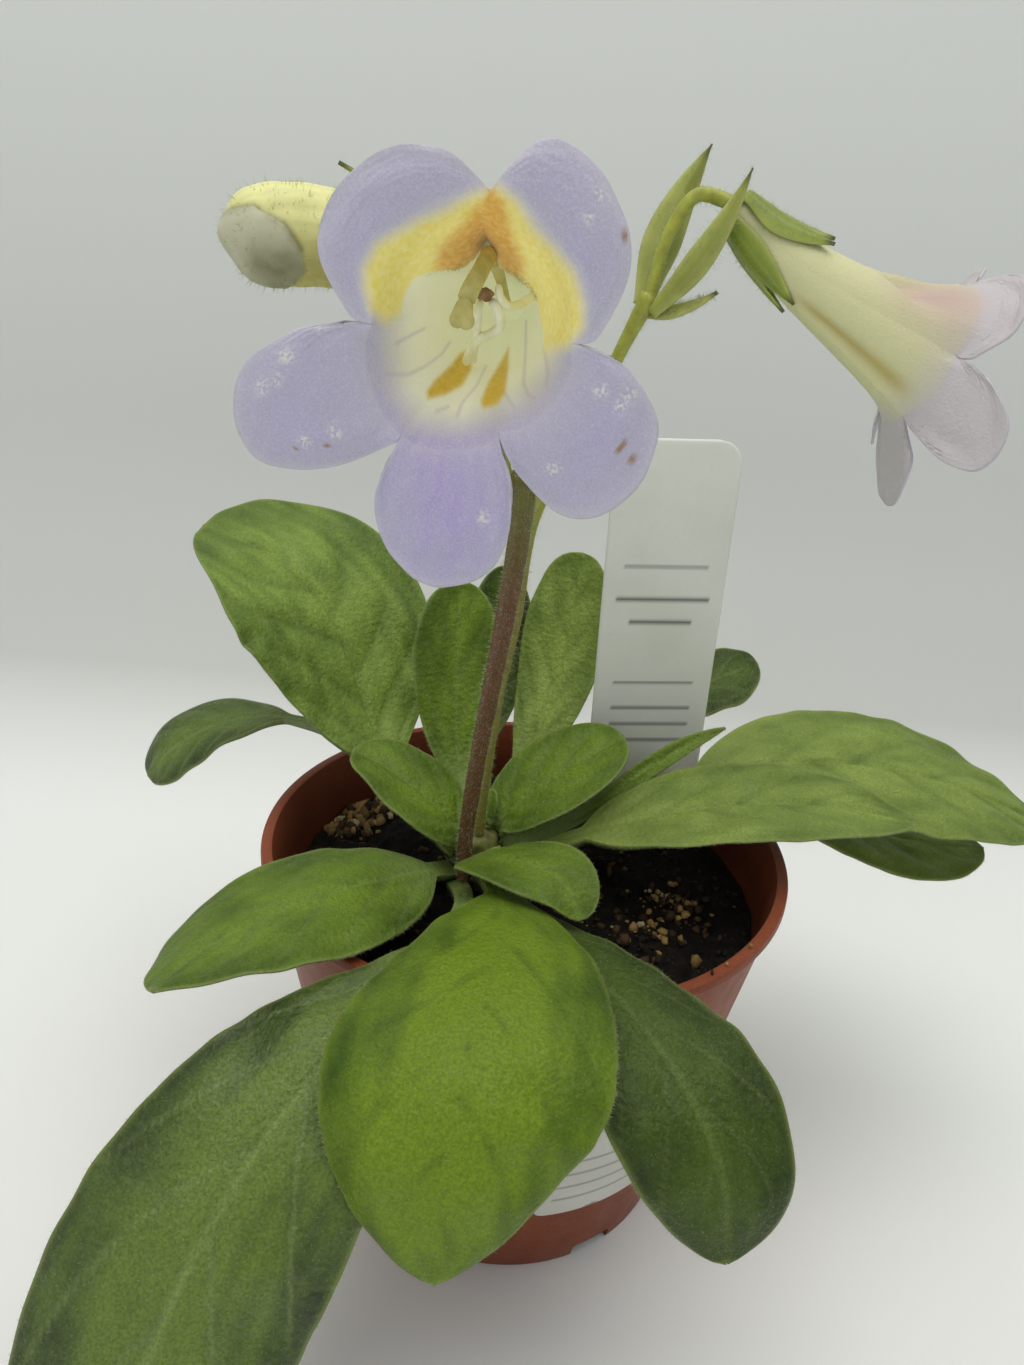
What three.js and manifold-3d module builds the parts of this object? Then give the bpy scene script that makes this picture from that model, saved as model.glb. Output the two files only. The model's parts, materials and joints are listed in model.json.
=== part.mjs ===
// Potted primulina (Asian violet): a thin plastic nursery pot of potting mix with a name tag,
// a rosette of hairy leaves, and two flower stalks that carry two open flowers and a bud.
// Millimetres, +Z up. The origin is the centre of the pot's underside, -Y is the front.
import * as THREE from "three";
import { mergeVertices } from "three/addons/utils/BufferGeometryUtils.js";
import Module from "manifold-3d";

const wasm = await Module();
wasm.setup();

// ---------- driving dimensions ----------
const GAP = 0.3; // clearance between pieces that touch

const POT_HEIGHT = 79.5;
const POT_RIM_RADIUS = 52.5; // outside
const POT_BASE_RADIUS = 36.5; // outside
const POT_WALL = 1.2;
const POT_LIP = 1.0; // how far the rolled lip stands out from the wall
const POT_LIP_HEIGHT = 2.4;
const POT_FLOOR = 1.6;
const POT_SIDES = 48;
const DRAIN_NOTCHES = 6;
const DRAIN_NOTCH = { width: 9, depth: 7, height: 4.5, turn: -58 }; // turn in degrees

const SOIL_TOP = 66.5; // at the wall
const SOIL_MOUND = 2.0; // how much higher the middle is

const LABEL = { from: -81, to: -46, bottom: 19, top: 54, thickness: 0.25, gap: 0.05 }; // degrees round the pot
const TAG = { width: 25, length: 117, thickness: 0.6, corner: 5, point: 18 };
const TAG_TOP = v(23.5, 16, 157.5);
const TAG_FOOT = v(26.5, 25, 41);

const CROWN = { x: -9, y: -3, radius: 4.6, bottom: 58, top: 80.8 };

const LEAF_THICKNESS = 0.9;
const PETIOLE_THICKNESS = 2.2;
const LEAF_STEPS = 12; // along the midrib
const LEAF_STRIPS = 6; // across the blade

function v(x, y, z) {
  return new THREE.Vector3(x, y, z);
}

// ---------- leaves: midrib from the crown to the tip, as a cubic curve ----------
// width: widest part of the blade. petiole: share of the length that is stalk.
// base, end: how slowly the blade widens from the stalk, and how bluntly it ends.
// roll: turn of the blade about its midrib at the stalk and at the tip, in degrees.
// cup: rise of the blade's edges at the stalk and at the tip, as a share of the half width.
const LEAVES = [
  {
    name: "leaf_small_front",
    midrib: [v(-5.4, -7.6, 78.5), v(-17.1, -16.5, 79.5), v(8.1, -19.9, 91.7), v(9.5, -31, 81)],
    width: 16.8, petiole: 0.1, base: 0.6, end: 0.53, roll: [9, 5], cup: [-0.04, 0.08],
  },
  {
    name: "leaf_front_centre",
    midrib: [v(-8.2, -7.5, 74.4), v(3, -45.6, 86.8), v(-11.5, -80.4, 101.3), v(-9.4, -81.8, 58.5)],
    width: 40.7, petiole: 0.14, base: 0.64, end: 0.52, roll: [2, -2], cup: [-0.09, -0.31],
  },
  {
    name: "leaf_left",
    midrib: [v(-14.8, -4.1, 71.3), v(-23.9, -27, 84.9), v(-44.8, -34.6, 84.2), v(-56, -54.5, 80)],
    width: 31.5, petiole: 0.11, base: 0.73, end: 0.53, roll: [-29, 25], cup: [-0.06, -0.07],
  },
  {
    name: "leaf_front_left",
    midrib: [v(-13.3, -6.9, 69.8), v(-0.6, -45.1, 85), v(-41.5, -74.8, 97.2), v(-52.5, -97.9, 22.1)],
    width: 37.9, petiole: 0.26, base: 1.01, end: 0.37, roll: [22, -31], cup: [0, -0.23],
  },
  {
    name: "leaf_front_right",
    midrib: [v(-5.2, -6.5, 70.3), v(5.5, -40, 83), v(30, -74, 91.5), v(31.5, -73.5, 56)],
    width: 25.8, petiole: 0.13, base: 0.82, end: 0.47, roll: [-17, 23], cup: [0, -0.11],
  },
  {
    name: "leaf_centre_left",
    midrib: [v(-13.5, -0.5, 78), v(-13.5, -5.5, 82.5), v(-23, -0.5, 90), v(-36, 2, 94)],
    width: 20, petiole: 0.04, base: 0.71, end: 0.54, roll: [-14, -8], cup: [0.12, 0.17],
  },
  {
    name: "leaf_centre_right",
    midrib: [v(-4.5, -0.7, 79.7), v(-7.6, -1, 82.9), v(6.8, 2.9, 92.6), v(18.6, 6.4, 99.2)],
    width: 23.5, petiole: 0.05, base: 0.73, end: 0.48, roll: [8, 7], cup: [0.24, 0.07],
  },
  {
    name: "leaf_back_centre_left",
    midrib: [v(-10.9, 1.7, 78), v(-18, 14.5, 91), v(-17, 19, 109.5), v(-17.4, 21.5, 124.9)],
    width: 18, petiole: 0.12, base: 0.77, end: 0.46, roll: [-12, -5], cup: [0.23, 0.07],
  },
  {
    name: "leaf_back_centre_right",
    midrib: [v(-7.3, 1.5, 77.2), v(3.6, 21.5, 91.1), v(6.4, 30.7, 108.1), v(7.9, 34, 129.6)],
    width: 19.1, petiole: 0.15, base: 0.85, end: 0.43, roll: [12, 1], cup: [0.11, 0.1],
  },
  {
    name: "leaf_back_peek",
    midrib: [v(-9.4, 2.3, 70.3), v(-10.4, 22.1, 91.1), v(-7.5, 35.5, 106), v(-9, 39, 124)],
    width: 15, petiole: 0.32, base: 0.72, end: 0.55, roll: [3, 3], cup: [0.08, 0.08],
  },
  {
    name: "leaf_back_left",
    midrib: [v(-14, -1.5, 74.2), v(-47.1, 12.9, 95.8), v(-28.4, 23, 120.7), v(-72, 26.5, 131.5)],
    width: 48.1, petiole: 0.2, base: 0.77, end: 0.45, roll: [-22, -5], cup: [0.18, 0.13],
  },
  {
    name: "leaf_far_left",
    midrib: [v(-13.5, -0.5, 70.5), v(-37.5, 25.5, 99.5), v(-75, 28.5, 92), v(-86, 21, 73.5)],
    width: 20, petiole: 0.48, base: 0.85, end: 0.36, roll: [21, -48], cup: [-0.01, -0.01],
  },
  {
    name: "leaf_right_long",
    midrib: [v(-4.1, -5.2, 73), v(23, -8.5, 94), v(51, -3.5, 95.5), v(76, -4, 90)],
    width: 24.1, petiole: 0.19, base: 0.6, end: 0.64, roll: [14, 6], cup: [0.11, 0.11],
  },
  {
    name: "leaf_edge_on",
    midrib: [v(-4.2, -2.4, 76.8), v(16.2, -2, 84.2), v(20.5, 8.8, 92.1), v(40, 12.3, 100.2)],
    width: 4.3, petiole: 0.21, base: 0.79, end: 0.62, roll: [44, 52], cup: [0.14, 0.2],
  },
  {
    name: "leaf_right_back",
    midrib: [v(-4.8, -0.9, 73.8), v(34.9, 16.5, 91.6), v(73.4, 21.6, 99.7), v(115, 14, 80)],
    width: 38.4, petiole: 0.34, base: 0.71, end: 0.62, roll: [18, 13], cup: [0.05, -0.01],
  },
  {
    name: "leaf_right_lower",
    midrib: [v(-3.5, -3.5, 70.3), v(38.3, 34.7, 100.4), v(67.3, 20, 66.3), v(106, 22.2, 70.3)],
    width: 24.9, petiole: 0.5, base: 0.71, end: 0.56, roll: [6, 13], cup: [-0.13, -0.07],
  },
  {
    name: "leaf_back_right_small",
    midrib: [v(-5, 0.5, 70.5), v(6, 33, 84), v(34.5, 44.5, 93.5), v(53.5, 45.5, 102.5)],
    width: 20, petiole: 0.54, base: 0.73, end: 0.5, roll: [2, 8], cup: [0.02, 0.02],
  },
  {
    name: "leaf_newest",
    midrib: [v(-8.2, -1, 81.4), v(-8.2, -0.6, 83), v(-7.8, 0, 85), v(-7, 1, 88)],
    width: 5, petiole: 0.1, base: 0.7, end: 0.5, roll: [0, 0], cup: [0.3, 0.3],
  },
];

// ---------- flower stalks: two peduncles from the crown ----------

const PEDUNCLE_RADIUS = { foot: 1.4, node: 1.7 };
const NODE_RADIUS = 2.3; // the swelling that the main peduncle ends in
const SECOND_PEDUNCLE_RADIUS = { foot: 1.0, node: 0.9 };
const PEDICEL_RADIUS = 0.85;

const PEDUNCLE = [
  v(-11.7, -8.1, 73.2), v(-11.8, -9.3, 80), v(-11.5, -10.8, 87.5), v(-9.8, -13.5, 106),
  v(-7.8, -17, 123.1), v(-6.2, -21.3, 138.7), v(-5.5, -25, 147.8), v(-5.5, -28, 154.4),
];
const SECOND_PEDUNCLE = [
  v(-9.3, -4.4, 81.2), v(-9, -4.8, 90), v(-7.4, -6, 110.8), v(-5.1, -8.5, 127.6), v(-3.4, -14.5, 147),
  v(3, -20.5, 164.1), v(7, -23.5, 174.3), v(9.8, -26, 181.6),
];

// A pedicel's last point is the back of its flower's calyx.
const FRONT_PEDICEL = [
  v(-5.9, -27.5, 156.9), v(-6.3, -25.5, 166), v(-7.6, -24.6, 175), v(-8.75, -30.75, 179.75),
];
const BUD_PEDICEL = [
  v(-7.8, -27.5, 156.1), v(-11.5, -28, 167), v(-13.4, -28.7, 177), v(-15.3, -31.9, 183.8),
];
const RIGHT_PEDICEL = [
  v(10.1, -26, 182.1), v(11.6, -26, 188.4), v(13.9, -26, 192.4), v(17.7, -26.4, 194.5),
];

// Bracts: path from the node to the tip, widest width, and the way the broad face looks.
const BRACTS = [
  {
    name: "bract_main_left", width: 5, facing: v(0, -1, 0.3),
    path: [v(-8.6, -29.2, 154.2), v(-12, -31, 160), v(-14, -31.5, 170)],
  },
  {
    name: "bract_main_right", width: 5.4, facing: v(0, -1, 0.3),
    path: [v(-2.2, -29, 154.6), v(0, -30.5, 161), v(0.5, -31.5, 171)],
  },
  {
    name: "bract_second_left", width: 5.4, facing: v(0, -1, 0.1),
    path: [v(9.6, -25, 182.4), v(10.6, -22.6, 190.5), v(16.4, -22, 201.2)],
  },
  {
    name: "bract_second_right", width: 4.6, facing: v(-0.3, -1, 0.2),
    path: [v(11.3, -27.5, 181), v(16.8, -31.5, 187.2), v(20.4, -32, 197.6)],
  },
  {
    name: "bract_second_small", width: 3.2, facing: v(0, -0.7, 1),
    path: [v(10.9, -25.2, 179.9), v(15.4, -28, 180.6), v(18.4, -30.5, 183)],
  },
];
const BRACT_THICKNESS = 0.7;

// ---------- flowers: both open flowers share one shape ----------
// A flower has its own frame at its mouth: x to the right and y up as one faces it, z out of it.
const NOTCHES = { // where two lobes of the corolla meet, round the mouth
  top: [1, 13.4],
  left: [-11.5, 0.2],
  lowerLeft: [-8.2, -11.9],
  lowerRight: [3.1, -10.6],
  right: [10.7, -0.2],
};
// Each lobe lies between two notches, anticlockwise; its free edge runs through the points
// of outline.
// lean: how far, in degrees, it stands forward of the mouth's plane in a fully open flower.
const LOBES = [
  {
    from: NOTCHES.right, to: NOTCHES.top, lean: -6,
    outline: [[13.4, 1], [15.8, 8.5], [12, 16], [6, 18.6]],
  },
  {
    from: NOTCHES.top, to: NOTCHES.left, lean: -6,
    outline: [[-3.5, 17], [-9.5, 16.9], [-15, 13], [-17.2, 7.5], [-14.2, 1.5]],
  },
  {
    from: NOTCHES.left, to: NOTCHES.lowerLeft, lean: 3,
    outline: [[-19.5, -0.8], [-26, -5.5], [-27.2, -12], [-23.5, -16.2], [-16, -15.8]],
  },
  {
    from: NOTCHES.lowerLeft, to: NOTCHES.lowerRight, lean: 6,
    outline: [[-11, -19], [-9.5, -25.5], [-3.6, -29.3], [3, -26.5], [5.1, -19.5]],
  },
  {
    from: NOTCHES.lowerRight, to: NOTCHES.right, lean: 3,
    outline: [[6, -15.5], [12, -19.3], [18.6, -15.8], [20.6, -8.5], [17, -2.5]],
  },
];
const PETAL_THICKNESS = 0.8;
const TUBE_END_RADIUS = 2.6;
const MOUTH_RADIUS = 11.5; // mean
const LOBE_CORNER = 1.05; // a lobe's free edge starts this much outside its notch
const LOBE_LAP = 2; // degrees by which a lobe's base laps over its neighbours'
const SEPALS = {
  count: 5,
  stand: 0.4,
  width: 3,
  thickness: 0.6,
  rootDepth: 0.9, // how far each sepal starts behind the tube's foot
  rootTuck: 0.5, // how far that start is drawn in towards the axis
  cupHeight: 1.1,
  cupRim: 0.7, // how far the cup stands out past the tube
  cupTaper: 0.7, // radius of the cup's foot as a share of its rim
};
const SEPAL_SHARES = [0, 0.35, 0.7, 1]; // stations along a sepal
const TUBE_SIDES = 20;
const CUP_SIDES = 12;
const BUD_SIDES = 16;
// In the flower's own frame: x right, y up, z out of the mouth.
const STYLE_PATH = [[0.3, 2.2, -16], [1.6, 6, -8], [1.3, 7.2, -3], [-0.6, 3.8, 0], [-2.2, 0.3, 0.6]];
const STYLE_RADIUS = { foot: 0.5, stigma: 1.3 };
const FILAMENT_PATHS = [
  [[-1.4, -3.9, -14], [-0.4, -2, -8], [0, 0.6, -5], [0.9, 3.4, -4]],
  [[4.1, -1.4, -14], [6, 3.2, -8], [4.6, 4.9, -5.2], [1.3, 3.9, -4]],
];
const FILAMENT_RADIUS = { foot: 0.5, tip: 0.45 };
const ANTHERS = { spot: [0.9, 3.6, -4], radius: 1.5, stretch: [1.15, 0.8, 0.8] };

// axis: from the back end of the corolla tube to the centre of the mouth.
// size: scale of the shared shape.
// up: the way its top lobes point. firstSepalStand: how far the first sepal's tip stands off the tube.
// lean: how much further forward all the lobes stand, in degrees, in a flower that isn't fully open.
const FRONT_FLOWER = {
  name: "front",
  axis: [v(-9, -33, 179.7), v(-10, -41, 179.6), v(-11, -51, 178), v(-11.7, -60, 176.9)],
  up: v(0, 0, 1),
  size: 1,
  lean: 0,
  sepalTurn: 0,
  sepalLength: 12,
  firstSepalStand: 0.6,
};
const RIGHT_FLOWER = {
  name: "right",
  axis: [v(20.3, -26.6, 193.2), v(26.5, -27.5, 186.4), v(39, -29, 182.1), v(48.4, -30, 177.4)],
  up: v(0.3, 0, 1),
  size: 0.76,
  lean: 34,
  sepalTurn: -30,
  sepalLength: 12.5,
  firstSepalStand: 0.8,
};
const BUD = {
  axis: [v(-17.5, -33, 184.4), v(-26, -36.6, 185.6), v(-35, -40.8, 186.4), v(-43.8, -44.2, 185.3)],
  radii: [1.9, 3, 4.3, 5.1, 5.5, 5.8, 5.8, 4.9, 1.9],
  up: v(0, 0, 1),
  size: 1,
  sepalTurn: 0,
  sepalLength: 14.5,
  firstSepalStand: 2.2,
};

// ---------- geometry helpers ----------

// A closed box of strips, each point of which place(along 0..1, across -1..1, through -0.5..0.5) moves.
// place keeps along, across and through a right-handed trio, so the faces still point out.
function shapedBox(steps, strips, place) {
  const box = new THREE.BoxGeometry(1, 1, 1, steps, strips, 1);
  const points = box.getAttribute("position");
  for (let i = 0; i < points.count; i += 1) {
    const spot = place(points.getX(i) + 0.5, points.getY(i) * 2, points.getZ(i));
    points.setXYZ(i, spot.x, spot.y, spot.z);
  }
  return bare(box);
}

// Only positions, with shared vertices merged.
function bare(geometry) {
  const copy = geometry.clone();
  copy.deleteAttribute("normal");
  copy.deleteAttribute("uv");
  return mergeVertices(copy, 1e-4);
}

function toSolid(geometry) {
  const merged = bare(geometry);
  return new wasm.Manifold(
    new wasm.Mesh({
      numProp: 3,
      vertProperties: new Float32Array(merged.getAttribute("position").array),
      triVerts: new Uint32Array(merged.index.array),
    }),
  );
}

function toGeometry(solid) {
  const mesh = solid.getMesh();
  const geometry = new THREE.BufferGeometry();
  geometry.setAttribute("position", new THREE.BufferAttribute(mesh.vertProperties, 3));
  geometry.setIndex(new THREE.BufferAttribute(mesh.triVerts, 1));
  return geometry;
}

const SLIVER = 0.03; // detail finer than this is dropped after a join

// One body, without the slivers of space that can stay shut in where edges meet.
function joined(geometries) {
  const bodies = geometries.map(toSolid).reduce((a, b) => a.add(b)).simplify(SLIVER).decompose();
  return toGeometry(bodies.reduce((a, b) => (a.volume() > b.volume() ? a : b)));
}

function cut(geometry, tools) {
  return toGeometry(tools.map(toSolid).reduce((a, b) => a.subtract(b), toSolid(geometry)));
}

function smoothstep(from, to, x) {
  const t = THREE.MathUtils.clamp((x - from) / (to - from), 0, 1);
  return t * t * (3 - 2 * t);
}

// A round stalk along a smooth curve through the points, with its own radius at each end.
function stalk(points, startRadius, endRadius, steps = 14, sides = 8) {
  const curve = new THREE.CatmullRomCurve3(points);
  const rod = new THREE.CylinderGeometry(1, 1, 1, sides, steps).rotateX(Math.PI / 2);
  const frames = curve.computeFrenetFrames(steps, false);
  const at = rod.getAttribute("position");
  for (let i = 0; i < at.count; i += 1) {
    const along = THREE.MathUtils.clamp(at.getZ(i) + 0.5, 0, 1);
    const step = Math.round(along * steps);
    const radius = THREE.MathUtils.lerp(startRadius, endRadius, along);
    const spot = curve.getPointAt(along);
    spot.addScaledVector(frames.normals[step], at.getX(i) * radius);
    spot.addScaledVector(frames.binormals[step], at.getY(i) * radius);
    at.setXYZ(i, spot.x, spot.y, spot.z);
  }
  return bare(rod);
}

// ---------- colours and finishes ----------
function finish(colour, roughness) {
  return new THREE.MeshStandardMaterial({ color: colour, roughness, metalness: 0 });
}

const terracottaPlastic = finish(0xa5553c, 0.45);
const labelPaper = finish(0xe4e2dc, 0.6);
const pottingMix = finish(0x1d1712, 0.95);
const tagPlastic = finish(0xafb4aa, 0.5);
const leafGreen = finish(0x55782a, 0.6);
const stalkBrown = finish(0x5f4137, 0.6);
const stalkGreen = finish(0x7a8c3c, 0.6);
const bractGreen = finish(0x8c9646, 0.6);
const petalLavender = finish(0xb4a5d2, 0.7);
const budGreen = finish(0xbebe82, 0.7);
const stigmaGreen = finish(0xc8be78, 0.6);
const antherBrown = finish(0x6e5032, 0.7);

const plant = new THREE.Group();

function add(name, geometry, material) {
  const mesh = new THREE.Mesh(geometry, material);
  mesh.name = name;
  plant.add(mesh);
}

// ---------- pot, soil, label and tag ----------

function potRadius(height) {
  return THREE.MathUtils.lerp(POT_BASE_RADIUS, POT_RIM_RADIUS - POT_LIP, height / POT_HEIGHT);
}

function lathe(outline, sides = POT_SIDES) {
  const points = outline.map(([radius, height]) => new THREE.Vector2(radius, height));
  return new THREE.LatheGeometry(points, sides).rotateX(Math.PI / 2);
}

function makePot() {
  const lipFoot = POT_HEIGHT - POT_LIP_HEIGHT;
  const shell = lathe([
    [0, 0],
    [POT_BASE_RADIUS, 0],
    [potRadius(lipFoot), lipFoot],
    [POT_RIM_RADIUS, lipFoot + 0.5],
    [POT_RIM_RADIUS, POT_HEIGHT - 0.4],
    [POT_RIM_RADIUS - 0.5, POT_HEIGHT],
    [potRadius(POT_HEIGHT) - POT_WALL, POT_HEIGHT],
    [potRadius(POT_FLOOR) - POT_WALL, POT_FLOOR],
    [0, POT_FLOOR],
  ]);
  const notches = [];
  for (let i = 0; i < DRAIN_NOTCHES; i += 1) {
    const turn = THREE.MathUtils.degToRad(DRAIN_NOTCH.turn + (360 * i) / DRAIN_NOTCHES);
    const notch = new THREE.BoxGeometry(DRAIN_NOTCH.depth, DRAIN_NOTCH.width, DRAIN_NOTCH.height);
    notch.translate(POT_BASE_RADIUS, 0, DRAIN_NOTCH.height / 2 - 1);
    notches.push(notch.rotateZ(turn));
  }
  return cut(shell, notches);
}

function soilHeight(radius) {
  const reach = potRadius(SOIL_TOP);
  return SOIL_TOP + SOIL_MOUND * (1 - (radius / reach) ** 2);
}

function makeSoil() {
  const wall = (height) => potRadius(height) - POT_WALL - GAP;
  const outline = [
    [0, DRAIN_NOTCH.height],
    [wall(DRAIN_NOTCH.height), DRAIN_NOTCH.height],
    [wall(SOIL_TOP), SOIL_TOP],
  ];
  for (const share of [0.8, 0.55, 0.3]) {
    const radius = wall(SOIL_TOP) * share;
    outline.push([radius, soilHeight(radius)]);
  }
  outline.push([0, soilHeight(0)]);
  const crownHole = new THREE.CylinderGeometry(CROWN.radius + GAP, CROWN.radius + GAP, 40, 16);
  crownHole.rotateX(Math.PI / 2).translate(CROWN.x, CROWN.y, CROWN.bottom - GAP + 20);
  return cut(lathe(outline, 36), [crownHole, makeTag(GAP)]);
}

function makeLabel() {
  const from = THREE.MathUtils.degToRad(LABEL.from);
  const to = THREE.MathUtils.degToRad(LABEL.to);
  return shapedBox(8, 1, (along, across, through) => {
    const angle = THREE.MathUtils.lerp(from, to, along);
    const height = THREE.MathUtils.lerp(LABEL.bottom, LABEL.top, (across + 1) / 2);
    const radius = potRadius(height) + LABEL.gap + LABEL.thickness * (through + 0.5);
    return v(radius * Math.cos(angle), radius * Math.sin(angle), height);
  });
}

// The tag's flat outline stands on its pointed foot; grown by extra all round for the slot in the soil.
function makeTag(extra = 0) {
  const half = TAG.width / 2 + extra;
  const foot = new THREE.Shape();
  foot.moveTo(0, -extra);
  foot.lineTo(half, TAG.point);
  foot.lineTo(half, TAG.length - TAG.corner);
  foot.absarc(half - TAG.corner, TAG.length - TAG.corner, TAG.corner, 0, Math.PI / 2);
  foot.absarc(TAG.corner - half, TAG.length - TAG.corner, TAG.corner, Math.PI / 2, Math.PI);
  foot.lineTo(-half, TAG.point);
  const thickness = TAG.thickness + 2 * extra;
  const plate = new THREE.ExtrudeGeometry(foot, {
    depth: thickness, bevelEnabled: false, curveSegments: 4,
  });
  plate.translate(0, 0, -thickness / 2);
  const up = TAG_TOP.clone().sub(TAG_FOOT).normalize();
  const right = v(1, 0.1, 0);
  right.addScaledVector(up, -right.dot(up)).normalize();
  const facing = right.clone().cross(up);
  plate.applyMatrix4(new THREE.Matrix4().makeBasis(right, up, facing));
  return plate.translate(TAG_FOOT.x, TAG_FOOT.y, TAG_FOOT.z);
}

function makeCrown() {
  const height = CROWN.top - CROWN.bottom;
  const stem = new THREE.CylinderGeometry(CROWN.radius * 0.8, CROWN.radius, height, 14);
  return stem.rotateX(Math.PI / 2).translate(CROWN.x, CROWN.y, CROWN.bottom + height / 2);
}

add("pot", makePot(), terracottaPlastic);
add("pot_label", makeLabel(), labelPaper);
add("soil", makeSoil(), pottingMix);
add("plant_tag", makeTag(), tagPlastic);
add("crown", makeCrown(), stalkBrown);

// ---------- leaves ----------

// Half the width of a blade at a share of its length, from the stalk's own half width.
function leafHalfWidth(leaf, along) {
  const share = THREE.MathUtils.clamp((along - leaf.petiole) / (1 - leaf.petiole), 0, 1);
  const widest = leaf.base / (leaf.base + leaf.end);
  const blade = (share / widest) ** leaf.base * ((1 - share) / (1 - widest)) ** leaf.end;
  const stalkPart = 1.6 * (1 - along) + 0.3;
  return ((leaf.width / 2 * blade) ** 4 + stalkPart ** 4) ** 0.25;
}

function leafBlade(leaf) {
  const curve = new THREE.CubicBezierCurve3(...leaf.midrib);
  const heading = leaf.midrib[3].clone().sub(leaf.midrib[0]).setZ(0).normalize();
  const level = v(-heading.y, heading.x, 0);
  return shapedBox(LEAF_STEPS, LEAF_STRIPS, (along, across, through) => {
    const share = 1 - (1 - along) ** 1.35;
    const tangent = curve.getTangent(share);
    const side = level.clone().addScaledVector(tangent, -level.dot(tangent)).normalize();
    const up = tangent.clone().cross(side);
    const roll = THREE.MathUtils.degToRad(THREE.MathUtils.lerp(...leaf.roll, share));
    side.applyAxisAngle(tangent, roll);
    up.applyAxisAngle(tangent, roll);
    const half = leafHalfWidth(leaf, share);
    const stalkShare = 1 - smoothstep(leaf.petiole * 0.6, leaf.petiole + 0.25, share);
    const thickness = THREE.MathUtils.lerp(LEAF_THICKNESS, PETIOLE_THICKNESS, stalkShare);
    const rise = THREE.MathUtils.lerp(...leaf.cup, share) * half * Math.abs(across) ** 1.8;
    return curve.getPoint(share)
      .addScaledVector(side, across * half)
      .addScaledVector(up, rise + through * thickness);
  });
}

for (const leaf of LEAVES) {
  add(leaf.name, leafBlade(leaf), leafGreen);
}

// ---------- stalks, bracts and flowers ----------

// A slim blade along a curve: broadest before its middle and pointed at its end.
function slimBlade(curve, width, facing, thickness, steps = 6) {
  const broadest = 0.4;
  return shapedBox(steps, 2, (along, across, through) => {
    const tangent = curve.getTangent(along);
    const up = facing.clone().addScaledVector(tangent, -facing.dot(tangent)).normalize();
    const side = up.clone().cross(tangent);
    const taper = 1 - (Math.max(along - broadest, 0) / (1 - broadest)) ** 1.6;
    const swell = THREE.MathUtils.lerp(0.55, 1, smoothstep(0, broadest, along));
    const half = Math.max(width / 2 * swell * taper, 0.2);
    return curve.getPoint(along)
      .addScaledVector(side, across * half)
      .addScaledVector(up, through * thickness - 0.1 * half * Math.abs(across));
  });
}

function angleOf([x, y]) {
  return Math.atan2(y, x);
}

// The mouth's radius towards an angle, worked out between the two notches on either side.
function mouthRadius(angle) {
  const notches = Object.values(NOTCHES).sort((a, b) => angleOf(a) - angleOf(b));
  const full = 2 * Math.PI;
  for (let i = 0; i < notches.length; i += 1) {
    const start = notches[i];
    const end = notches[(i + 1) % notches.length];
    const span = (angleOf(end) - angleOf(start) + full) % full;
    const into = (angle - angleOf(start) + 2 * full) % full;
    if (into <= span) {
      return THREE.MathUtils.lerp(Math.hypot(...start), Math.hypot(...end), into / span);
    }
  }
  return MOUTH_RADIUS;
}

function tubeLength(flower) {
  return new THREE.CubicBezierCurve3(...flower.axis).getLength();
}

// Places a point of the flower's own frame along its curved axis; z below 0 lies in the tube.
function flowerPlacer(flower) {
  const curve = new THREE.CubicBezierCurve3(...flower.axis);
  const length = curve.getLength();
  return (x, y, z) => {
    const along = THREE.MathUtils.clamp(1 + z / length, 0, 1);
    const facing = curve.getTangentAt(along);
    const up = flower.up.clone().addScaledVector(facing, -flower.up.dot(facing)).normalize();
    const right = up.clone().cross(facing);
    return curve.getPointAt(along)
      .addScaledVector(right, x * flower.size)
      .addScaledVector(up, y * flower.size)
      .addScaledVector(facing, Math.max(z, 0) * flower.size + Math.min(z + length, 0));
  };
}

// Carries a shape turned about +Z to its place along the flower's curved axis.
function bentAlong(shape, place) {
  const at = shape.getAttribute("position");
  for (let i = 0; i < at.count; i += 1) {
    const spot = place(at.getX(i), at.getY(i), at.getZ(i));
    at.setXYZ(i, spot.x, spot.y, spot.z);
  }
  return shape;
}

function tubeRadius(share) {
  return TUBE_END_RADIUS + (MOUTH_RADIUS - TUBE_END_RADIUS) * share ** 1.1;
}

function corollaTube(flower) {
  const length = tubeLength(flower);
  const shares = [0, 0.25, 0.5, 0.75, 1];
  const outer = shares.map((share) => [tubeRadius(share), (share - 1) * length]);
  const inner = outer.map(([radius, z], i) => [
    radius - PETAL_THICKNESS,
    i === 0 ? z + PETAL_THICKNESS : z,
  ]);
  inner.reverse();
  const profile = [[0, -length], ...outer, ...inner, [0, PETAL_THICKNESS - length]];
  const shell = bare(lathe(profile, TUBE_SIDES));
  const place = flowerPlacer(flower);
  return bentAlong(shell, (x, y, z) => {
    const share = THREE.MathUtils.clamp(1 + z / length, 0, 1);
    const stretch = THREE.MathUtils.lerp(1, mouthRadius(Math.atan2(y, x)) / MOUTH_RADIUS, share);
    return place(x * stretch, y * stretch, z);
  });
}

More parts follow.
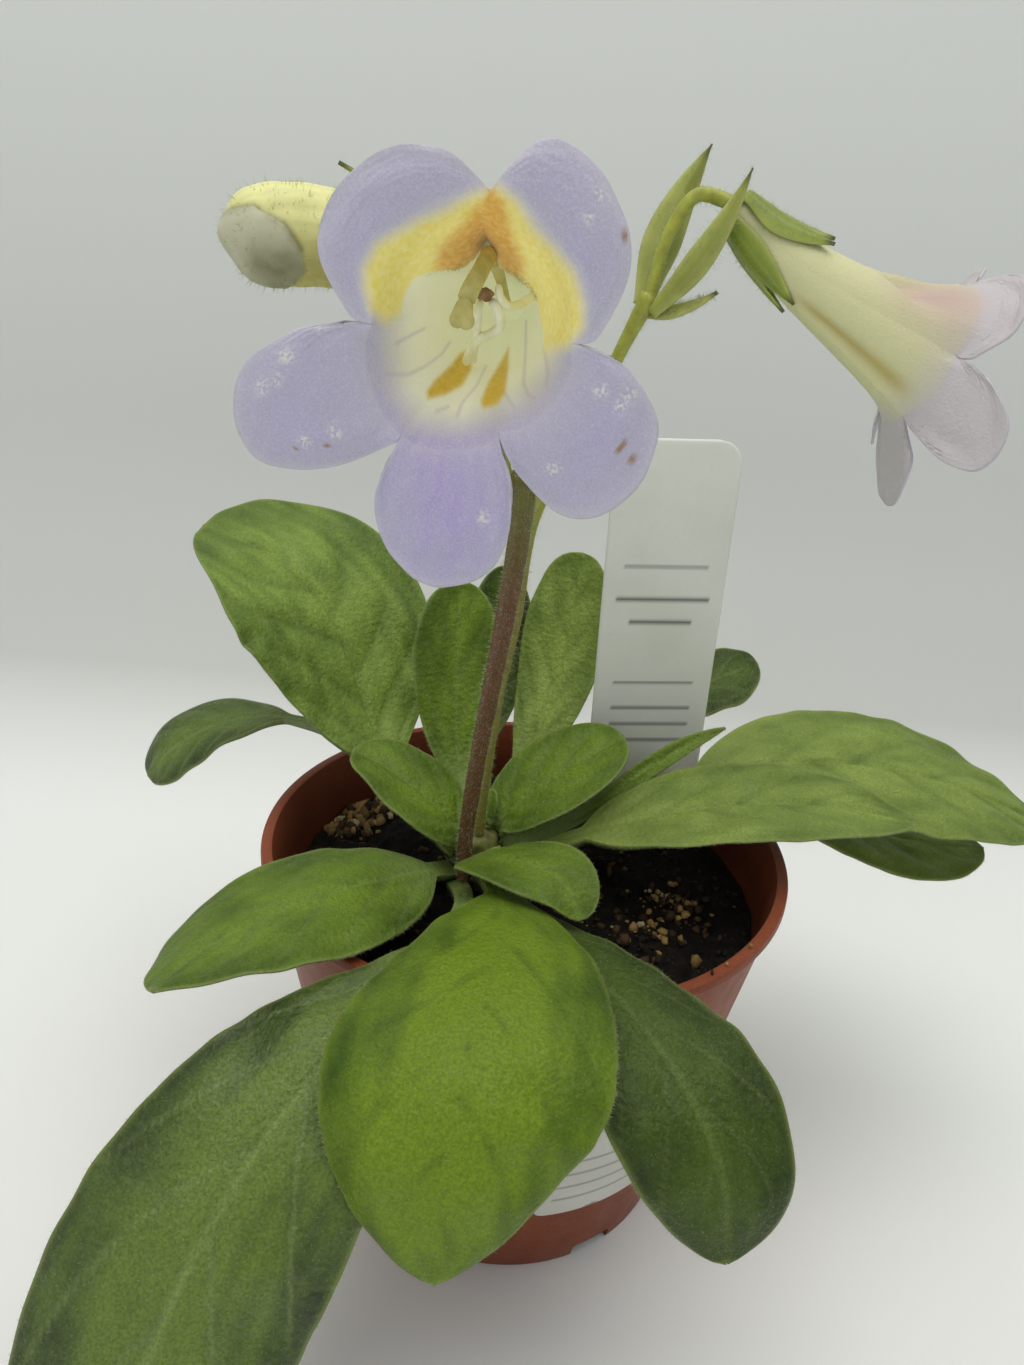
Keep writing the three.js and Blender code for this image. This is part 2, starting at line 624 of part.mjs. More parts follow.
// A lobe spreads from the mouth's edge between its two notches to its own free edge.
function corollaLobe(flower, lobe) {
  const place = flowerPlacer(flower);
  const lap = THREE.MathUtils.degToRad(LOBE_LAP);
  const start = angleOf(lobe.from) - lap;
  const span = (angleOf(lobe.to) + lap - start + 2 * Math.PI) % (2 * Math.PI);
  const corners = [[lobe.from, -lap], [lobe.to, lap]].map(([[x, y], turn]) => (
    new THREE.Vector2(x, y).multiplyScalar(LOBE_CORNER).rotateAround(new THREE.Vector2(), turn)
  ));
  const freeEdge = new THREE.SplineCurve([
    corners[0], ...lobe.outline.map(([x, y]) => new THREE.Vector2(x, y)), corners[1],
  ]);
  const lean = THREE.MathUtils.degToRad(lobe.lean + flower.lean);
  return shapedBox(4, 9, (along, across, through) => {
    const share = (across + 1) / 2;
    const angle = start + span * share;
    const radius = mouthRadius(angle) - PETAL_THICKNESS / 2;
    const edge = new THREE.Vector2(Math.cos(angle), Math.sin(angle)).multiplyScalar(radius);
    const reach = freeEdge.getPoint(share).sub(edge).multiplyScalar(along);
    const flat = edge.addScaledVector(reach, Math.cos(lean));
    const foot = along === 0 ? PETAL_THICKNESS / 2 : 0; // the first row is sunk in the tube's wall
    const lift = reach.length() * Math.sin(lean) - foot;
    return place(flat.x, flat.y, lift + PETAL_THICKNESS * (through - 0.5));
  });
}

function corolla(flower) {
  return joined([corollaTube(flower), ...LOBES.map((lobe) => corollaLobe(flower, lobe))]);
}

// Five sepals on a small cup behind the corolla tube.
function calyx(flower, radiusAt) {
  const place = flowerPlacer(flower);
  const length = tubeLength(flower);
  const back = -length - GAP;
  const cupRadius = radiusAt(0) + SEPALS.cupRim;
  const foot = back - SEPALS.cupHeight;
  const profile = [[0, foot], [cupRadius * SEPALS.cupTaper, foot], [cupRadius, back], [0, back]];
  const cup = bentAlong(bare(lathe(profile, CUP_SIDES)), place);
  const clear = GAP + SEPALS.thickness;
  const sepals = Array.from({ length: SEPALS.count }, (_, i) => {
    const angle = THREE.MathUtils.degToRad(flower.sepalTurn + 90 + (360 * i) / SEPALS.count);
    const facing = place(Math.cos(angle), Math.sin(angle), -length).sub(place(0, 0, -length));
    const stand = i === 0 ? flower.firstSepalStand : SEPALS.stand;
    const spotAt = (reach, tuck) => {
      const ahead = Math.max(reach, 0);
      const lift = stand * (ahead / flower.sepalLength) ** 2 - tuck;
      const radius = radiusAt(ahead / length) + clear + lift;
      return place(radius * Math.cos(angle), radius * Math.sin(angle), reach - length);
    };
    const points = [
      spotAt(-SEPALS.rootDepth, SEPALS.rootTuck),
      ...SEPAL_SHARES.map((share) => spotAt(share * flower.sepalLength, 0)),
    ];
    return slimBlade(new THREE.CatmullRomCurve3(points), SEPALS.width, facing, SEPALS.thickness, 5);
  });
  return joined([cup, ...sepals]);
}

// The style runs along the roof of the tube and bends down to a broad two-lobed stigma.
function pistil(flower) {
  const place = flowerPlacer(flower);
  const back = -tubeLength(flower) + PETAL_THICKNESS + GAP;
  const spots = [[0, 0, back], ...STYLE_PATH].map((spot) => place(...spot));
  return stalk(spots, STYLE_RADIUS.foot, STYLE_RADIUS.stigma, 16, 8);
}

// Two bent filaments that meet at one pair of joined anthers.
function stamens(flower) {
  const place = flowerPlacer(flower);
  const filaments = FILAMENT_PATHS.map((path) => {
    const spots = path.map((spot) => place(...spot));
    return stalk(spots, FILAMENT_RADIUS.foot, FILAMENT_RADIUS.tip, 10, 6);
  });
  const anthers = new THREE.SphereGeometry(ANTHERS.radius, 12, 8).scale(...ANTHERS.stretch);
  const centre = place(...ANTHERS.spot);
  return joined([...filaments, anthers.translate(centre.x, centre.y, centre.z)]);
}

// A closed bud: round all along its bent axis.
function budCorolla() {
  const curve = new THREE.CubicBezierCurve3(...BUD.axis);
  const length = curve.getLength();
  const last = BUD.radii.length - 1;
  const outline = BUD.radii.map((radius, i) => [radius, (i / last - 1) * length]);
  const body = bare(lathe([[0, -length], ...outline, [0, 0]], BUD_SIDES));
  return bentAlong(body, flowerPlacer(BUD));
}

function budRadius(share) {
  const at = THREE.MathUtils.clamp(share, 0, 1) * (BUD.radii.length - 1);
  const before = Math.floor(at);
  const after = Math.ceil(at);
  return THREE.MathUtils.lerp(BUD.radii[before], BUD.radii[after], at - before);
}

function mainPeduncle() {
  const node = new THREE.SphereGeometry(NODE_RADIUS, 12, 8);
  const top = PEDUNCLE[PEDUNCLE.length - 1];
  const stem = stalk(PEDUNCLE, PEDUNCLE_RADIUS.foot, PEDUNCLE_RADIUS.node, 20, 10);
  return joined([stem, node.translate(top.x, top.y, top.z)]);
}

add("main_peduncle", mainPeduncle(), stalkBrown);
add("second_peduncle",
  stalk(SECOND_PEDUNCLE, SECOND_PEDUNCLE_RADIUS.foot, SECOND_PEDUNCLE_RADIUS.node, 24, 8), stalkGreen);
for (const bract of BRACTS) {
  const curve = new THREE.QuadraticBezierCurve3(...bract.path);
  add(bract.name, slimBlade(curve, bract.width, bract.facing, BRACT_THICKNESS), bractGreen);
}

for (const [flower, path] of [[FRONT_FLOWER, FRONT_PEDICEL], [RIGHT_FLOWER, RIGHT_PEDICEL]]) {
  add(`${flower.name}_pedicel`, stalk(path, PEDICEL_RADIUS, PEDICEL_RADIUS, 10, 8), stalkGreen);
  add(`${flower.name}_calyx`, calyx(flower, tubeRadius), bractGreen);
  add(`${flower.name}_corolla`, corolla(flower), petalLavender);
  add(`${flower.name}_pistil`, pistil(flower), stigmaGreen);
  add(`${flower.name}_stamens`, stamens(flower), antherBrown);
}

add("bud_pedicel", stalk(BUD_PEDICEL, PEDICEL_RADIUS, PEDICEL_RADIUS, 10, 8), stalkGreen);
add("bud_calyx", calyx(BUD, budRadius), bractGreen);
add("bud_corolla", budCorolla(), budGreen);

export default plant;
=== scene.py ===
"""Looks of the potted primulina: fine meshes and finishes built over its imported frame.

Lengths in the tables are millimetres, in the frame's own axes. Meshes are in metres.
"""

from __future__ import annotations

import json
import logging
import math
import time
import zlib
from collections.abc import Iterator
from contextlib import contextmanager
from dataclasses import dataclass
from enum import Enum
from typing import Any

import bmesh
import bpy
import numpy as np
from bpy.types import Material, Mesh, Node, NodeSocket, NodeTree, Object
from mathutils import Matrix, Vector

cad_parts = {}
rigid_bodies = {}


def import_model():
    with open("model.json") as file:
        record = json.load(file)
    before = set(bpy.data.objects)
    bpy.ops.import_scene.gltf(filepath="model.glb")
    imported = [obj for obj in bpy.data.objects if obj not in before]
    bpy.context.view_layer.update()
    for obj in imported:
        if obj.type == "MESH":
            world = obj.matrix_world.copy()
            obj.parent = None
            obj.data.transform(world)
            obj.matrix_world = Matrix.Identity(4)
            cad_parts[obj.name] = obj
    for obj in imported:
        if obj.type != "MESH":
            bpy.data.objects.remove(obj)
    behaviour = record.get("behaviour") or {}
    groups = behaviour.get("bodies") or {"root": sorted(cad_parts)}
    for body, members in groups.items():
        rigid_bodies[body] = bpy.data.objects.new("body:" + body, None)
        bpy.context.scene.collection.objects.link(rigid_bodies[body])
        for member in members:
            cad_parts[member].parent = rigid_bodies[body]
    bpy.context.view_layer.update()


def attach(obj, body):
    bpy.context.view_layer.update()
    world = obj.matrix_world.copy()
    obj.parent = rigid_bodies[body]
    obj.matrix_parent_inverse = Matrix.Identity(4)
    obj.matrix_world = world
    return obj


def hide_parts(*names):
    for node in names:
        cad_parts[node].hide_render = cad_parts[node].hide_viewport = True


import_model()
LOG = logging.getLogger("primulina")
MM = 0.001
TAU = 2 * math.pi
WELD_METRES = 1e-6
PAINTED_GLOW_STRENGTH = 0.12  # strength of the petals' painted glow, which stands in for light from behind them
Array = np.ndarray
RGB = tuple[int, int, int]
BLACK: RGB = (0, 0, 0)
Pair = tuple[float, float]
Triple = tuple[float, float, float]


# ---------- numbers and curves ----------


def lerp(start: Any, end: Any, share: Any) -> Any:
    """Value a share of the way from start to end."""
    return start + (end - start) * share


def smoothstep(low: float, high: float, value: Any) -> Any:
    """Eased 0 to 1 as value goes from low to high."""
    share = np.clip((value - low) / (high - low), 0.0, 1.0)
    return share * share * (3 - 2 * share)


def bump(distance: Any, reach: float) -> Any:
    """1 at no distance, falling off smoothly as a bell of that reach."""
    return np.exp(-((distance / reach) ** 2))


def unit(vectors: Array) -> Array:
    """Rows scaled to length 1."""
    return vectors / np.maximum(np.linalg.norm(vectors, axis=-1, keepdims=True), 1e-12)


def dot(a: Array, b: Array) -> Array:
    """Row by row dot product, kept as a column."""
    return np.sum(a * b, axis=-1, keepdims=True)


def norms(rows: Array) -> Array:
    """Length of each row."""
    return np.linalg.norm(rows, axis=1)


def polar(radius: Array, turn: Array, *rest: Array) -> Array:
    """Rows of x and y at a radius towards angles in radians, with more columns after them."""
    return np.column_stack([radius * np.cos(turn), radius * np.sin(turn), *rest])


def dice(name: str) -> np.random.RandomState:
    """A random source that is the same each run for a name."""
    return np.random.RandomState(zlib.crc32(name.encode()) % (2**31))


def ripples(name: str, points: Array, size: float, count: int = 7) -> Array:
    """A smooth random field of about -1 to 1.

    Args:
        name: picks the field.
        points: rows of coordinates, any number of columns.
        size: typical distance between a crest and the next one.
        count: how many waves are summed.

    Returns:
        One number for each row of points.
    """
    source = dice(name)
    total = np.zeros(len(points))
    for _ in range(count):
        way = unit(source.normal(size=points.shape[1]))
        pitch = size * source.uniform(0.6, 1.6)
        total += np.sin(points @ way * (TAU / pitch) + source.uniform(0, 6.28))
    return total / math.sqrt(count)


def bezier(points: Array, share: Array) -> tuple[Array, Array]:
    """Points and unit tangents of a Bezier curve.

    Args:
        points: its 3 or 4 control points.
        share: 0 to 1 along it.

    Returns:
        A point and a tangent for each share.
    """
    t = share[:, None]
    if len(points) == 3:
        spot = (1 - t) ** 2 * points[0] + 2 * t * (1 - t) * points[1] + t**2 * points[2]
        slope = (1 - t) * (points[1] - points[0]) + t * (points[2] - points[1])
        return spot, unit(slope)
    spot = (
        (1 - t) ** 3 * points[0]
        + 3 * t * (1 - t) ** 2 * points[1]
        + 3 * t**2 * (1 - t) * points[2]
        + t**3 * points[3]
    )
    slope = (
        (1 - t) ** 2 * (points[1] - points[0])
        + 2 * t * (1 - t) * (points[2] - points[1])
        + t**2 * (points[3] - points[2])
    )
    return spot, unit(slope)


def spline(points: Array, share: Array) -> Array:
    """A smooth curve through points, with an equal share of it between each two.

    Args:
        points: rows that it runs through.
        share: 0 to 1 along it.

    Returns:
        A point for each share.
    """
    last = len(points) - 1
    at = np.clip(share, 0, 1) * last
    i = np.minimum(at.astype(int), last - 1)
    t = (at - i)[:, None]
    p0, p1 = points[np.maximum(i - 1, 0)], points[i]
    p2, p3 = points[i + 1], points[np.minimum(i + 2, last)]
    v0, v1 = (p2 - p0) / 2, (p3 - p1) / 2
    return (2 * p1 - 2 * p2 + v0 + v1) * t**3 + (-3 * p1 + 3 * p2 - 2 * v0 - v1) * t**2 + v0 * t + p1


class Path:
    """A curve looked up by share of its length."""

    def __init__(self, dense: Array) -> None:
        """Measures the curve.

        Args:
            dense: close points along it.
        """
        steps = norms(np.diff(dense, axis=0))
        self.run = np.concatenate([[0], np.cumsum(steps)])
        self.length = float(self.run[-1])
        self.dense = dense
        self.slope = unit(np.gradient(dense, axis=0))

    @classmethod
    def through(cls, points: Any) -> Path:
        """A smooth path through points."""
        return cls(spline(np.array(points, float), np.linspace(0, 1, 400)))

    @classmethod
    def drawn(cls, points: Any) -> Path:
        """A path along a Bezier curve."""
        return cls(bezier(np.array(points, float), np.linspace(0, 1, 400))[0])

    def _look_up(self, table: Array, share: Array) -> Array:
        """A table's rows, looked up by share of the length."""
        at = np.clip(share, 0, 1) * self.length
        return np.column_stack([np.interp(at, self.run, table[:, k]) for k in range(3)])

    def spot(self, share: Array) -> Array:
        """Points at shares of the length."""
        return self._look_up(self.dense, share)

    def tangent(self, share: Array) -> Array:
        """Unit tangents at shares of the length."""
        return unit(self._look_up(self.slope, share))


def away_from(points: Array, line: Any) -> Array:
    """Distance of 2-D points to a line.

    Args:
        points: rows of x and y.
        line: corners of a polyline.

    Returns:
        A distance for each point.
    """
    best = np.full(len(points), 1e9)
    line = np.array(line, float)
    for start, end in zip(line[:-1], line[1:]):
        run = end - start
        share = np.clip(((points - start) @ run) / (run @ run), 0, 1)
        best = np.minimum(best, norms(points - start - share[:, None] * run))
    return best


def inside(points: Array, outline: Any, soft: float) -> Array:
    """How far 2-D points are inside a closed outline.

    Args:
        points: rows of x and y.
        outline: its corners.
        soft: how wide its edge is, in millimetres.

    Returns:
        1 well inside, 0 well outside, for each point.
    """
    ring = np.array(list(outline) + [outline[0]], float)
    crossed = np.zeros(len(points), bool)
    for (x0, y0), (x1, y1) in zip(ring[:-1], ring[1:]):
        if y0 == y1:
            continue
        between = (points[:, 1] > min(y0, y1)) & (points[:, 1] <= max(y0, y1))
        at = x0 + (points[:, 1] - y0) * (x1 - x0) / (y1 - y0)
        crossed ^= between & (points[:, 0] < at)
    signed = np.where(crossed, 1, -1) * away_from(points, ring)
    return smoothstep(-soft / 2, soft / 2, signed)


# ---------- meshes ----------


def coordinates(mesh: Mesh) -> Array:
    """All vertices of a mesh.

    Args:
        mesh: any mesh.

    Returns:
        A row in metres for each vertex.
    """
    flat = np.zeros(len(mesh.vertices) * 3, np.float32)
    mesh.vertices.foreach_get("co", flat)
    return flat.reshape(-1, 3).astype(float)


def channel(mesh: Mesh, name: str, kind: type = np.float32) -> Array:
    """What a mesh carries under a name.

    Args:
        mesh: any mesh.
        name: the attribute's name.
        kind: what its numbers are kept as.

    Returns:
        A number for each vertex.
    """
    values = np.zeros(len(mesh.vertices), kind)
    mesh.attributes[name].data.foreach_get("value", values)
    return values.astype(float) if kind is np.float32 else values


def paint(mesh: Mesh, **masks: Array) -> None:
    """Stores masks with a mesh.

    Args:
        mesh: the mesh that gets them.
        masks: a number for each vertex, under each name.
    """
    for name, values in masks.items():
        layer = mesh.attributes.get(name) or mesh.attributes.new(name, "FLOAT", "POINT")
        layer.data.foreach_set("value", np.asarray(values, np.float32))


def slab(name: str, rows: int, columns: int) -> tuple[Mesh, Array, Array, Array]:
    """A closed thin slab, to be bent into shape.

    Args:
        name: the mesh's name.
        rows: faces along it.
        columns: faces across it.

    Returns:
        The mesh, and its vertices' along 0 to 1, across -1 to 1 and through -0.5 to 0.5.
    """
    bm = bmesh.new()
    bmesh.ops.create_grid(bm, x_segments=rows, y_segments=columns, size=1)
    layers = [bm.verts.layers.float.new(n) for n in ("along", "across", "through")]
    for vertex in bm.verts:
        vertex[layers[0]] = (vertex.co.x + 1) / 2
        vertex[layers[1]] = vertex.co.y
    bmesh.ops.solidify(bm, geom=bm.faces[:], thickness=0.1)
    middle = sum(vertex.co.z for vertex in bm.verts) / len(bm.verts)
    for vertex in bm.verts:
        vertex[layers[2]] = math.copysign(0.5, vertex.co.z - middle)
    mesh = to_mesh(bm, name)
    return mesh, channel(mesh, "along"), channel(mesh, "across"), channel(mesh, "through")


def tube(name: str, rows: int, sides: int) -> tuple[Mesh, Array, Array]:
    """A flat grid, to be rolled up.

    Args:
        name: the mesh's name.
        rows: faces along it.
        sides: faces round it.

    Returns:
        The mesh, and its vertices' along, 0 to 1, and turn, an angle in radians.
    """
    bm = bmesh.new()
    bmesh.ops.create_grid(bm, x_segments=rows, y_segments=sides, size=1)
    layers = [bm.verts.layers.float.new(n) for n in ("along", "turn")]
    for vertex in bm.verts:
        vertex[layers[0]] = (vertex.co.x + 1) / 2
        vertex[layers[1]] = (vertex.co.y + 1) / 2
    mesh = to_mesh(bm, name)
    return mesh, channel(mesh, "along"), channel(mesh, "turn") * TAU


def to_mesh(bm: bmesh.types.BMesh, name: str) -> Mesh:
    """Turns a bmesh into a mesh and frees it.

    Args:
        bm: what the mesh is made from.
        name: the mesh's name.

    Returns:
        The mesh.
    """
    mesh = bpy.data.meshes.new(name)
    bm.to_mesh(mesh)
    bm.free()
    return mesh


def in_scene(name: str, data: Any) -> Object:
    """Puts a new object in the scene.

    Args:
        name: its name.
        data: its mesh, light or camera.

    Returns:
        The object.
    """
    made = bpy.data.objects.new(name, data)
    bpy.context.scene.collection.objects.link(made)
    return made


@contextmanager
def opened(mesh: Mesh) -> Iterator[bmesh.types.BMesh]:
    """A mesh open for changes, which it takes over at the end.

    Args:
        mesh: the mesh.

    Yields:
        The mesh as a bmesh.
    """
    bm = bmesh.new()
    bm.from_mesh(mesh)
    yield bm
    bm.to_mesh(mesh)
    bm.free()


def place(mesh: Mesh, points: Array) -> None:
    """Moves all vertices to points in millimetres."""
    mesh.vertices.foreach_set("co", (points * MM).astype(np.float32).ravel())


def tidy(mesh: Mesh, weld: bool = False) -> None:
    """Turns a mesh's faces outwards and shades it smooth.

    Args:
        mesh: the mesh.
        weld: whether vertices that meet are merged first.
    """
    with opened(mesh) as bm:
        if weld:
            bmesh.ops.remove_doubles(bm, verts=bm.verts[:], dist=WELD_METRES)
        bmesh.ops.recalc_face_normals(bm, faces=bm.faces[:])
        for face in bm.faces:
            face.smooth = True


def piece(mesh: Mesh, finish: Material, slot: str, *nodes: str) -> Object:
    """Puts a mesh in the scene as a piece of the plant.

    Args:
        mesh: the piece's mesh, in place.
        finish: its material.
        slot: the record's material slot that it belongs to; not used.
        nodes: the frame's nodes that it stands for.

    Returns:
        The piece's object.
    """
    made = in_scene(mesh.name, mesh)
    mesh.materials.append(finish)
    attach(made, "root")
    if nodes:
        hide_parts(*nodes)
    LOG.info("%s: %d faces", mesh.name, len(mesh.polygons))
    return made


def flock(shape: bmesh.types.BMesh, name: str, count: int) -> Mesh:
    """Copies of a small shape in one mesh.

    Args:
        shape: the shape, which is used up.
        name: the mesh's name.
        count: how many copies.

    Returns:
        The mesh, with the numbers of its copy and its corner on each vertex.
    """
    corner = shape.verts.layers.int.new("corner")
    copy = shape.verts.layers.int.new("copy")
    for i, vertex in enumerate(shape.verts):
        vertex[corner] = i
    have = 1
    while have < count:
        take = min(have, count - have)
        faces = [f for f in shape.faces if f.verts[0][copy] < take]
        new = bmesh.ops.duplicate(shape, geom=faces)["geom"]
        for item in new:
            if isinstance(item, bmesh.types.BMVert):
                item[copy] += have
        have += take
    return to_mesh(shape, name)


# ---------- material graphs ----------


def colour(rgb: RGB) -> tuple[float, float, float, float]:
    """A screen colour as the linear colour that a shader takes.

    Args:
        rgb: its levels, 0 to 255.

    Returns:
        Red, green and blue, and an alpha of 1.
    """

    def linear(level: float) -> float:
        """One level, made linear."""
        level /= 255
        return level / 12.92 if level <= 0.04045 else ((level + 0.055) / 1.055) ** 2.4

    return (linear(rgb[0]), linear(rgb[1]), linear(rgb[2]), 1.0)


class Graph:
    """The nodes of a material or a group, linked as they are made."""

    def __init__(self, tree: NodeTree) -> None:
        """Starts on a node tree."""
        self.tree = tree

    def add(self, kind: str, inputs: dict[Any, Any] | None = None, **settings: Any) -> Node:
        """A new node.

        Args:
            kind: its type, without ShaderNode.
            inputs: sockets to link or values to set, by input name or number.
            settings: its own properties.

        Returns:
            The node.
        """
        node = self.tree.nodes.new("ShaderNode" + kind)
        for key, value in settings.items():
            setattr(node, key, value)
        for key, value in (inputs or {}).items():
            if isinstance(value, NodeSocket):
                self.tree.links.new(value, node.inputs[key])
            else:
                node.inputs[key].default_value = value
        return node

    def mask(self, name: str) -> NodeSocket:
        """A number that the mesh carries."""
        return self.add("Attribute", attribute_name=name).outputs["Fac"]

    def maths(self, operation: str, a: Any, b: Any) -> NodeSocket:
        """One sum on two numbers, kept from 0 to 1."""
        return self.add("Math", {0: a, 1: b}, operation=operation, use_clamp=True).outputs[0]

    def times(self, a: Any, b: Any) -> NodeSocket:
        """Two numbers multiplied, kept from 0 to 1."""
        return self.maths("MULTIPLY", a, b)

    def blend(self, share: Any, a: Any, b: Any, strength: Any = None) -> NodeSocket:
        """Colour a with colour b over it.

        Args:
            share: 1 where b is seen in full.
            a: a socket, or a screen colour.
            b: the same.
            strength: how far b covers a where share is 1.

        Returns:
            The mixed colour's socket.
        """
        if strength is not None:
            share = self.times(share, strength)
        first, second = (colour(c) if isinstance(c, tuple) else c for c in (a, b))
        return self.add("Mix", {0: share, 6: first, 7: second}, data_type="RGBA").outputs[2]

    def between(self, value: Any, low: float, high: float, start: float = 0.0, end: float = 1.0) -> Any:
        """Value stretched so that low to high becomes start to end."""
        node = self.add("MapRange", {0: value, 1: low, 2: high, 3: start, 4: end})
        return node.outputs[0]

    def where(self) -> NodeSocket:
        """Object coordinates, in metres."""
        return self.add("TexCoord").outputs["Object"]

    def use(self, group: NodeTree, **inputs: Any) -> NodeSocket:
        """A shared group at work.

        Args:
            group: the group.
            inputs: its numbers, by name.

        Returns:
            The socket of its result.
        """
        node = self.add("Group", node_tree=group)
        for key, value in inputs.items():
            node.inputs[key].default_value = value
        return node.outputs[0]

    def mottle(self, scale: float, low: float, high: float, detail: float = 3.0) -> NodeSocket:
        """Soft random patches, scale of them to a metre, with their edges between low and high."""
        return self.use(MOTTLE, Scale=scale, Detail=detail, Low=low, High=high)

    def flecks(self, scale: float, share: float) -> NodeSocket:
        """Small separate specks, scale of them to a metre, that take a share of the skin."""
        return self.use(FLECKS, Scale=scale, Share=share)


class Group(Graph):
    """A shared effect with named inputs and outputs."""

    def __init__(self, name: str, inputs: dict[str, float], outputs: dict[str, str]) -> None:
        """Makes the group and its sockets.

        Args:
            name: the group's name.
            inputs: its numbers, with their defaults.
            outputs: its results, with their kinds.
        """
        super().__init__(bpy.data.node_groups.new(name, "ShaderNodeTree"))
        for key, value in inputs.items():
            socket = self.tree.interface.new_socket(key, in_out="INPUT", socket_type="NodeSocketFloat")
            socket.default_value = value
        for key, kind in outputs.items():
            self.tree.interface.new_socket(key, in_out="OUTPUT", socket_type="NodeSocket" + kind)
        self.given = self.tree.nodes.new("NodeGroupInput").outputs
        self.result = self.tree.nodes.new("NodeGroupOutput").inputs

    def put(self, **values: NodeSocket) -> NodeTree:
        """Links the outputs and hands the group over.

        Args:
            values: a socket for each output, by name.

        Returns:
            The group's tree.
        """
        for key, value in values.items():
            self.tree.links.new(value, self.result[key])
        return self.tree


def make_mottle() -> NodeTree:
    """Soft random patches: Scale is how many fit in a metre, Low and High where they start and end.

    Returns:
        The group.
    """
    g = Group("mottle", {"Scale": 100.0, "Detail": 3.0, "Low": 0.4, "High": 0.6}, {"Mask": "Float"})
    noise = g.add("TexNoise", {"Vector": g.where(), "Scale": g.given["Scale"], "Detail": g.given["Detail"]})
    spread = g.add("MapRange", {0: noise.outputs[0], 1: g.given["Low"], 2: g.given["High"]})
    return g.put(Mask=spread.outputs[0])


def make_grain() -> NodeTree:
    """Fine surface grain as a normal: Scale is how many grains fit in a metre, Height in metres.

    Returns:
        The group.
    """
    g = Group("grain", {"Scale": 2000.0, "Strength": 0.3, "Height": 0.0002}, {"Normal": "Vector"})
    noise = g.add("TexNoise", {"Vector": g.where(), "Scale": g.given["Scale"], "Detail": 4.0})
    lifted = g.add(
        "Bump",
        {"Strength": g.given["Strength"], "Distance": g.given["Height"], "Height": noise.outputs[0]},
    )
    return g.put(Normal=lifted.outputs[0])


def make_flecks() -> NodeTree:
    """Small separate specks: Scale is how many fit in a metre, Share how much of the skin they take.

    Returns:
        The group.
    """
    g = Group("flecks", {"Scale": 900.0, "Share": 0.1}, {"Mask": "Float"})
    cells = g.add("TexVoronoi", {"Vector": g.where(), "Scale": g.given["Scale"], "Randomness": 1.0})
    edge = g.add("Math", {0: g.given["Share"], 1: 0.55}, operation="MULTIPLY").outputs[0]
    spread = g.add("MapRange", {0: cells.outputs["Distance"], 1: edge, 2: 0.0})
    return g.put(Mask=spread.outputs[0])


MOTTLE = make_mottle()
GRAIN = make_grain()
FLECKS = make_flecks()


@dataclass(frozen=True)
class Finish:
    """What every finish has: a name, a roughness and the depth of its grain."""

    name: str
    roughness: float = 0.5
    grain_scale: float = 2500.0
    grain_strength: float = 0.25
    grain_height: float = 0.0001
    sheen: float = 0.0
    specular: float = 0.5
    subsurface: float = 0.0

    def base(self, g: Graph) -> NodeSocket:
        """The colour all over the surface."""
        raise NotImplementedError

    def gloss(self, g: Graph) -> NodeSocket:
        """The roughness all over the surface."""
        patches = g.mottle(220, 0.3, 0.7)
        return g.between(patches, 0, 1, self.roughness - 0.06, self.roughness + 0.06)

    def light_through(self, g: Graph) -> NodeSocket | None:
        """Painted glow standing in for light that comes through from behind, where the finish has it."""
        return None

    def material(self) -> Material:
        """Makes the finish.

        Returns:
            The finished material.
        """
        made = bpy.data.materials.new(self.name)
        made.use_nodes = True
        made.node_tree.nodes.clear()
        g = Graph(made.node_tree)
        grain = g.use(GRAIN, Scale=self.grain_scale, Strength=self.grain_strength, Height=self.grain_height)
        shader = g.add(
            "BsdfPrincipled",
            {"Base Color": self.base(g), "Roughness": self.gloss(g), "Normal": grain},
        )
        shader.inputs["Sheen Weight"].default_value = self.sheen
        shader.inputs["Sheen Roughness"].default_value = 0.4
        shader.inputs["Specular IOR Level"].default_value = self.specular
        if self.subsurface:
            shader.inputs["Subsurface Weight"].default_value = self.subsurface
            shader.inputs["Subsurface Scale"].default_value = 0.001
            shader.inputs["Subsurface Radius"].default_value = (1.0, 0.92, 0.75)
        # painted glow: an emission that stands in for light coming through the surface
        through = self.light_through(g)
        if through is not None:
            g.tree.links.new(through, shader.inputs["Emission Color"])
            shader.inputs["Emission Strength"].default_value = PAINTED_GLOW_STRENGTH
        g.add("OutputMaterial", {"Surface": shader.outputs[0]})
        return made


# ---------- leaves ----------


class LeafTone(Enum):
    """How old a leaf is and how it takes the light, which sets its greens with painted light and shade."""

    YOUNG = "young"
    BRIGHT = "bright"
    MATURE = "mature"
    PALE = "pale"
    DARK = "dark"
    DEEP = "deep"


